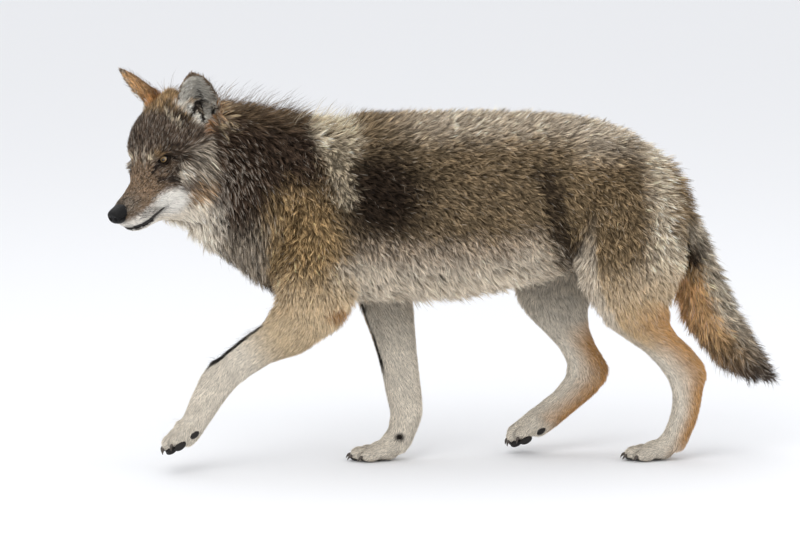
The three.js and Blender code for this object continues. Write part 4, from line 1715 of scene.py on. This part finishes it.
    def colors(self, site: Site, lock: Array, sheaf: Array, long: Array, dark_guard: Array) -> Array:
        """Returns the colours along each tuft.

        Args:
            site: The places where the tufts show.
            lock: The small clump of each tuft.
            sheaf: The large clump of each tuft.
            long: From 0 for short hair to 1 for long.
            dark_guard: Which tufts are long dark guard hairs.

        Returns:
            The colours, by tuft: at the root, darkened as painted shade, at two places up it and at the tip.
        """
        count = len(site.points)
        chance = self.chance
        marks = Markings(site)
        face = site.of("head") * ramp(site.head[:, 2], -75, -30)
        deep = np.maximum(long * (0.4 + 0.6 * ramp(marks.grizzle, 0.1, 0.4)), face)
        vary = 0.25 + 0.75 * deep
        shade = self.scattered(count, lock, 0.22, 0.2) + self.scattered(count, sheaf, 0.0, 0.08)
        base = marks.color * np.exp(vary * shade)[:, None]
        lot = np.where(chance.random(count) < 0.35, chance.random(count), chance.random(count)[lock])
        dark = ((lot < marks.grizzle) | dark_guard)[:, None]
        pale = (chance.random(count) < marks.frost)[:, None] & ~dark
        deep = deep[:, None]
        # Painted shade: the root third is darker, more in deep coat, for the shade near the skin.
        low = base * (0.85 - 0.45 * deep)
        middle = base * (1.0 - 0.05 * deep)
        high = np.where(dark, base * (0.8 - 0.3 * face[:, None]), base * (1.1 + 0.45 * deep))
        tip = np.where(dark, 0.1 * base + 0.6 * Tone.DARK, base * (1.1 + 0.5 * deep))
        frost = np.maximum(Tone.FROST, 1.1 * base)
        high = np.where(pale, 0.4 * high + 0.6 * frost, high)
        tip = np.where(pale, 0.1 * tip + 0.9 * frost, tip)
        return np.stack([low, middle, high, tip], axis=1)

    def mesh(self, name: str, blade: Blade, points: Array, colors: Array, spots: Array) -> bpy.types.Object:
        """Makes a piece from the points of its tufts.

        Args:
            name: The piece's name.
            blade: The make of the tufts.
            points: The points of each tuft.
            colors: Their colours.
            spots: The tufts' places on the map.

        Returns:
            The piece.
        """
        count, per = points.shape[:2]
        order = np.array(blade.order)
        corners = order[None, :] + (np.arange(count) * per)[:, None]
        sizes = np.tile([4] * (len(blade.taper) - 1) + [3], count)
        mesh = bpy.data.meshes.new(name)
        mesh.vertices.add(count * per)
        mesh.vertices.foreach_set("co", WOLF.to_scene(points.reshape(-1, 3)).astype(np.float32).ravel())
        mesh.loops.add(corners.size)
        mesh.loops.foreach_set("vertex_index", corners.astype(np.int32).ravel())
        mesh.polygons.add(len(sizes))
        mesh.polygons.foreach_set("loop_start", np.concatenate([[0], np.cumsum(sizes)[:-1]]).astype(np.int32))
        mesh.update(calc_edges=True)
        paint_points(mesh, "coat", np.clip(colors.reshape(-1, 3), 0, 1))
        layer = mesh.uv_layers.new(name="OFBake")
        corner = np.stack([[0, 1] * len(blade.taper) + [0.5], np.repeat(blade.rows, 2)[:-1]], axis=1) - 0.5
        place = np.clip(spots, self.patch, 1 - self.patch)[:, None, :] + corner[order] * self.patch
        layer.uv.foreach_set("vector", place.astype(np.float32).ravel())
        thing = bpy.data.objects.new(name, mesh)
        bpy.context.scene.collection.objects.link(thing)
        smooth(thing)
        return thing


# ---------------------------------------------------------------------------------------------------------
# Eyes, nose, mouth and feet
# ---------------------------------------------------------------------------------------------------------


@dataclass(frozen=True)
class Eye:
    """An eyeball with its cornea.

    Attributes:
        name: Which eye it is.
        bulge: How far the cornea stands out, as a share of the radius.
        rim: Degrees off the gaze where the cornea ends.
    """

    name: str
    bulge: float = 0.1
    rim: float = 36.0

    def build(self) -> bpy.types.Object:
        """Returns the eyeball."""
        orbit = ORBITS[self.name]
        eye, ball = sphere(f"eyeball_{self.name}", 64, 48)
        store(eye.data, "gaze", ball)
        angle = np.degrees(np.arccos(np.clip(ball[:, 2], -1, 1)))
        swell = 1.0 + self.bulge * (1.0 - ramp(angle, 0.15 * self.rim, self.rim))
        place = ball[:, [2, 0, 1]] * (orbit.radius * swell)[:, None]
        set_points(eye.data, orbit.place(place))
        face_out(eye)
        smooth(eye)
        return dress(eye, EyeFinish().material(), "eye", f"eye_{self.name}")


@dataclass(frozen=True)
class Eyelids:
    """The lids round an eye, from their black rims to under the coat.

    Attributes:
        name: Which eye they belong to.
        half_width: Degrees from the gaze to a corner of the opening.
        upper: Degrees from the gaze up to the upper rim.
        lower: Degrees from the gaze down to the lower rim.
        reach: Degrees from the gaze to the lids' outer edge.
        rings: Share of the way from the rim to the outer edge, and radius there.
    """

    name: str
    half_width: float = 52.0
    upper: float = 27.0
    lower: float = 24.0
    reach: float = 82.0
    rings: tuple[tuple[float, float], ...] = (
        (0.0, 11.6), (0.0, 12.5), (0.03, 13.1), (0.1, 13.6),
        (0.2, 13.9), (0.35, 14.1), (0.6, 13.9), (1.0, 12.0))
    steps: int = 72

    def build(self) -> bpy.types.Object:
        """Returns the lids of one eye."""
        orbit = ORBITS[self.name]
        turn = np.linspace(0, 2 * math.pi, self.steps, endpoint=False)
        high = np.where(np.sin(turn) > 0, self.upper, self.lower)
        rise = np.sign(np.sin(turn)) * np.abs(np.sin(turn)) ** 1.25
        rim = np.stack([self.half_width * np.cos(turn), high * rise])
        edge = self.reach * np.stack([np.cos(turn), np.sin(turn)])
        points, colors = [], []
        for share, radius in self.rings:
            across = rim + (edge - rim) * share
            off = np.hypot(*across)
            spin = np.arctan2(across[1], across[0])
            ahead, out = np.cos(np.radians(off)), np.sin(np.radians(off))
            points.append(radius * np.stack([ahead, out * np.cos(spin), out * np.sin(spin)], axis=1))
            fade = ramp(np.full(self.steps, share), 0.08, 0.32)[:, None]
            colors.append(Tone.DARK * 0.5 * (1 - fade) + Tone.FOREHEAD * 0.7 * fade)
        faces = [(k * self.steps + i, k * self.steps + (i + 1) % self.steps,
                  (k + 1) * self.steps + (i + 1) % self.steps, (k + 1) * self.steps + i)
                 for k in range(len(self.rings) - 1) for i in range(self.steps)]
        if orbit.side > 0:
            faces = [face[::-1] for face in faces]
        lids = mesh_object(f"eyelids_{self.name}", orbit.place(np.concatenate(points)), faces)
        paint_points(lids.data, "coat", np.concatenate(colors))
        smooth(lids)
        return dress(lids, SkinFinish().material(), "coat_face")


@dataclass(frozen=True)
class Nose:
    """The nose pad, with its nostrils and the groove between them.

    Attributes:
        middle: Its middle in the head's frame.
        radii: Its half sizes.
        square: How square its sections are; 2 is round.
    """

    middle: tuple[float, float, float] = NOSE_MIDDLE
    radii: tuple[float, float, float] = NOSE_RADII
    square: float = 2.9

    def build(self) -> bpy.types.Object:
        """Returns the nose."""
        nose, ball = sphere("nose_pad", 96, 64)
        size = np.sum(np.abs(ball) ** self.square, axis=1) ** (-1 / self.square)
        x, y, z = (ball * size[:, None] * np.array(self.radii)).T
        x = np.where(x > 15, 15 + 8 * np.tanh((x - 15) / 8), x) - 0.022 * np.minimum(z, 0) ** 2
        y = y * (1 - 0.16 * ramp(-z, 0, 16)) * (1 + 0.17 * ramp(-x, -5, 14))
        wide = np.abs(y)
        hole = np.exp(-((wide - 7.6) / 3.4) ** 2 - ((z + 0.5) / 3.8) ** 2) * ramp(x, 6, 12)
        slit = np.exp(-((z + 3.5 - 0.25 * (x - 8)) / 1.7) ** 2)
        slit *= ramp(wide, 9, 13) * ramp(x, -4, 4) * (1 - ramp(x, 14, 18))
        groove = np.exp(-(y / 1.3) ** 2) * ramp(x, 8, 14) * (1 - ramp(z, 2, 10))
        x = x - 7.5 * hole - 1.5 * groove
        y = y * (1 - 0.2 * slit)
        set_points(nose.data, HEAD.place(np.stack([x, y, z], axis=1) + np.array(self.middle)))
        face_out(nose)
        smooth(nose)
        return dress(nose, LeatherFinish("nose_hide", "0a0909", gloss=0.2).material(), "nose", "nose")


@dataclass(frozen=True)
class Lips:
    """The black line of the mouth, from corner to corner under the nose.

    Attributes:
        skin: The finished skin.
        radii: The lips' radius at each place of the line from the front to a corner.
    """

    skin: Skin
    radii: tuple[float, ...] = (1.6, 2.4, 3.2, 4.2, 5.2, 5.6, 5.2, 4.2, 1.6)

    def build(self) -> bpy.types.Object:
        """Returns the lips."""
        halves = {side: [] for side in SIDES.values()}
        for (x, z), radius in zip(LIP_LINE, self.radii):
            for side, half in halves.items():
                place = self.skin.meet((x, 90.0 * side, z), (0, -side, 0))
                half.append(place - np.array([0, 0.5 * side * radius, 0]))
        front = self.skin.meet((220.0, 0.0, LIP_LINE[0][1]), (-1, 0, 0)) - np.array([0.6, 0, 0])
        path = HEAD.place(halves[1][::-1] + [front] + halves[-1])
        lips = rods("lips", [path], [self.radii[::-1] + self.radii[:1] + self.radii], 12)
        return dress(lips, LeatherFinish("lip_hide", "15100e", 0.4).material(), "nose")


@dataclass(frozen=True)
class Whiskers:
    """Long stiff hairs on the upper lip.

    Attributes:
        skin: The finished skin.
        length: Length of the longest one.
        radius: Radius at a root.
    """

    skin: Skin
    length: float = 62.0
    radius: float = 0.42

    def build(self) -> bpy.types.Object:
        """Returns the whiskers."""
        paths, radii = [], []
        for side in (1, -1):
            for k, (x, z) in enumerate(WHISKER_ROOTS):
                root = self.skin.meet((x, 90.0 * side, z), (0, -side, 0))
                length = self.length * (0.55 + 0.45 * math.sin(2.4 * k + 0.7) ** 2)
                t = np.linspace(0, 1, 7)[:, None]
                way = unit(np.array([-0.5, 0.8 * side, -0.12 - 0.03 * (k % 3)]))
                bend = np.array([-0.32, -0.12 * side, -0.3])
                paths.append(HEAD.place(root + length * (way * t + bend * t ** 2)))
                radii.append((self.radius * (1 - 0.85 * t[:, 0])).tolist())
        return dress(rods("whiskers", paths, radii, 5), HornFinish().material(), "nose")


@dataclass(frozen=True)
class Feet:
    """The claws and the pads of the four paws, in each paw's frame.

    Attributes:
        toes: The toes' places ahead of the ankle and to the side.
        sole: Height of the sole.
        claw: Length of a claw.
        thick: Radius of a claw at its root.
    """

    toes: tuple[tuple[float, float], ...] = ((84.0, -10.1), (84.0, 10.1), (65.0, -28.6), (65.0, 28.6))
    sole: float = -24.0
    claw: float = 9.0
    thick: float = 4.0

    def build(self) -> None:
        """Builds the claws and the pads."""
        paths, radii = [], []
        for paw in PAWS.values():
            for x, y in self.toes:
                t = np.linspace(0, 1, 8)[:, None]
                run = np.concatenate([self.claw * t, 0.12 * y * t, 3.0 * t - 10.5 * t ** 2], axis=1)
                paths.append(paw.place(run + np.array([x + 19.0, y * 1.05, self.sole + 11.5])))
                radii.append((self.thick * (1 - 0.85 * t[:, 0] ** 1.5)).tolist())
        dress(rods("claws", paths, radii, 10), HornFinish().material(), "nose")
        pads = join([self.pads(paw) for paw in PAWS.values()], "pads")
        modify(pads, "REMESH", mode="VOXEL", voxel_size=1.2 * MM)
        modify(pads, "SMOOTH", factor=0.5, iterations=3)
        smooth(pads)
        dress(pads, LeatherFinish("pad_hide", "191513", 0.6, 420.0, 0.0012).material(), "nose")

    def pads(self, paw: PawFrame) -> bpy.types.Object:
        """Returns the pads of one paw."""
        drop, wide, deep = (5.0, 1.15, 8.0) if paw.down else (-0.5, 0.6, 5.0)
        lumps = [((x + 7, wide * y, self.sole + 6 - drop), (14, 10, deep)) for x, y in self.toes]
        lumps += [((44, 0, self.sole + 6 - drop), (16, 17, deep))]
        lumps += [((36, wide * y, self.sole + 6 - drop), (13, 11, deep)) for y in (-18, 18)]
        balls = []
        for middle, radii in lumps:
            ball, points = sphere("pad", 24, 16)
            set_points(ball.data, paw.place(points * np.array(radii) + np.array(middle)))
            balls.append(ball)
        return join(balls, "pads")


# ---------------------------------------------------------------------------------------------------------
# Studio
# ---------------------------------------------------------------------------------------------------------


class Lamp(Enum):
    """The soft lights: place, size in metres and power in watts."""

    KEY = ((-2.2, -3.2, 3.6), 3.0, 70.0)
    FILL = ((3.5, -2.5, 2.0), 3.0, 20.0)
    TOP = ((0.0, 0.5, 4.5), 4.0, 40.0)


@dataclass
class Studio:
    """Floor, backdrop, lights and camera.

    Attributes:
        azimuth: Degrees that the camera stands round to the wolf's head.
        elevation: Degrees that the camera stands above the horizon.
        distance: Metres from the camera to the target.
        target: The point in the wolf's frame that the scale is set at.
        width: Metres that the view is wide at the target.
        offset: Metres that the view's middle lies right of and above the target.
        sensor: Width of the camera's sensor in millimetres.
    """

    azimuth: float = -8.0
    elevation: float = 8.0
    distance: float = 9.0
    target: tuple[float, float, float] = (-80.0, 0.0, 350.0)
    width: float = 1.656
    offset: tuple[float, float] = (-0.0035, 0.0596)
    sensor: float = 36.0

    def build(self) -> None:
        """Builds the whole studio."""
        self.backdrop()
        self.lights()
        self.camera()

    def camera(self) -> None:
        """Sets the scene's camera."""
        a, e = math.radians(self.azimuth), math.radians(self.elevation)
        back = Vector((math.sin(a) * math.cos(e), -math.cos(a) * math.cos(e), math.sin(e)))
        right = Vector((math.cos(a), math.sin(a), 0.0))
        up = back.cross(right)
        aim = Vector(WOLF.to_scene(np.array(self.target))) + self.offset[0] * right + self.offset[1] * up
        data = bpy.data.cameras.new("camera")
        data.sensor_width = self.sensor
        data.lens = self.sensor * self.distance / self.width
        data.clip_end = 100.0
        camera = bpy.data.objects.new("camera", data)
        camera.location = aim + self.distance * back
        camera.rotation_mode = "QUATERNION"
        camera.rotation_quaternion = (-back).to_track_quat("-Z", "Y")
        bpy.context.scene.collection.objects.link(camera)
        bpy.context.scene.camera = camera

    def backdrop(self) -> None:
        """Lays the floor, a wide flat plane."""
        deselect()
        bpy.ops.mesh.primitive_plane_add(size=60.0, location=(0.0, 0.0, 0.0))
        floor = bpy.context.object
        floor.name = "floor"
        paint = bpy.data.materials.new("floor")
        paint.use_nodes = True
        shader = paint.node_tree.nodes["Principled BSDF"]
        shader.inputs["Base Color"].default_value = (0.86, 0.87, 0.89, 1.0)
        shader.inputs["Roughness"].default_value = 0.9
        floor.data.materials.append(paint)

    def lights(self) -> None:
        """Hangs the soft lights and sets the pale surroundings."""
        world = bpy.data.worlds.new("studio")
        bpy.context.scene.world = world
        world.use_nodes = True
        sky = world.node_tree.nodes["Background"]
        sky.inputs["Color"].default_value = (0.98, 0.985, 1.0, 1.0)
        sky.inputs["Strength"].default_value = 0.96
        bpy.context.scene.view_settings.view_transform = "Standard"
        for lamp in Lamp:
            place, size, power = lamp.value
            data = bpy.data.lights.new(lamp.name.lower(), "AREA")
            data.size = size
            data.energy = power
            light = bpy.data.objects.new(data.name, data)
            light.location = place
            way = Vector((0.0, 0.0, 0.45)) - Vector(place)
            light.rotation_mode = "QUATERNION"
            light.rotation_quaternion = way.to_track_quat("-Z", "Y")
            bpy.context.scene.collection.objects.link(light)


def main() -> None:
    """Builds the wolf."""
    skin = Skin()
    skin.build()
    Coat(skin).build()
    for name in SIDES:
        Eye(name).build()
        Eyelids(name).build()
    Nose().build()
    Lips(skin).build()
    Whiskers(skin).build()
    Feet().build()
    Studio().build()


if __name__ == "__main__":
    main()
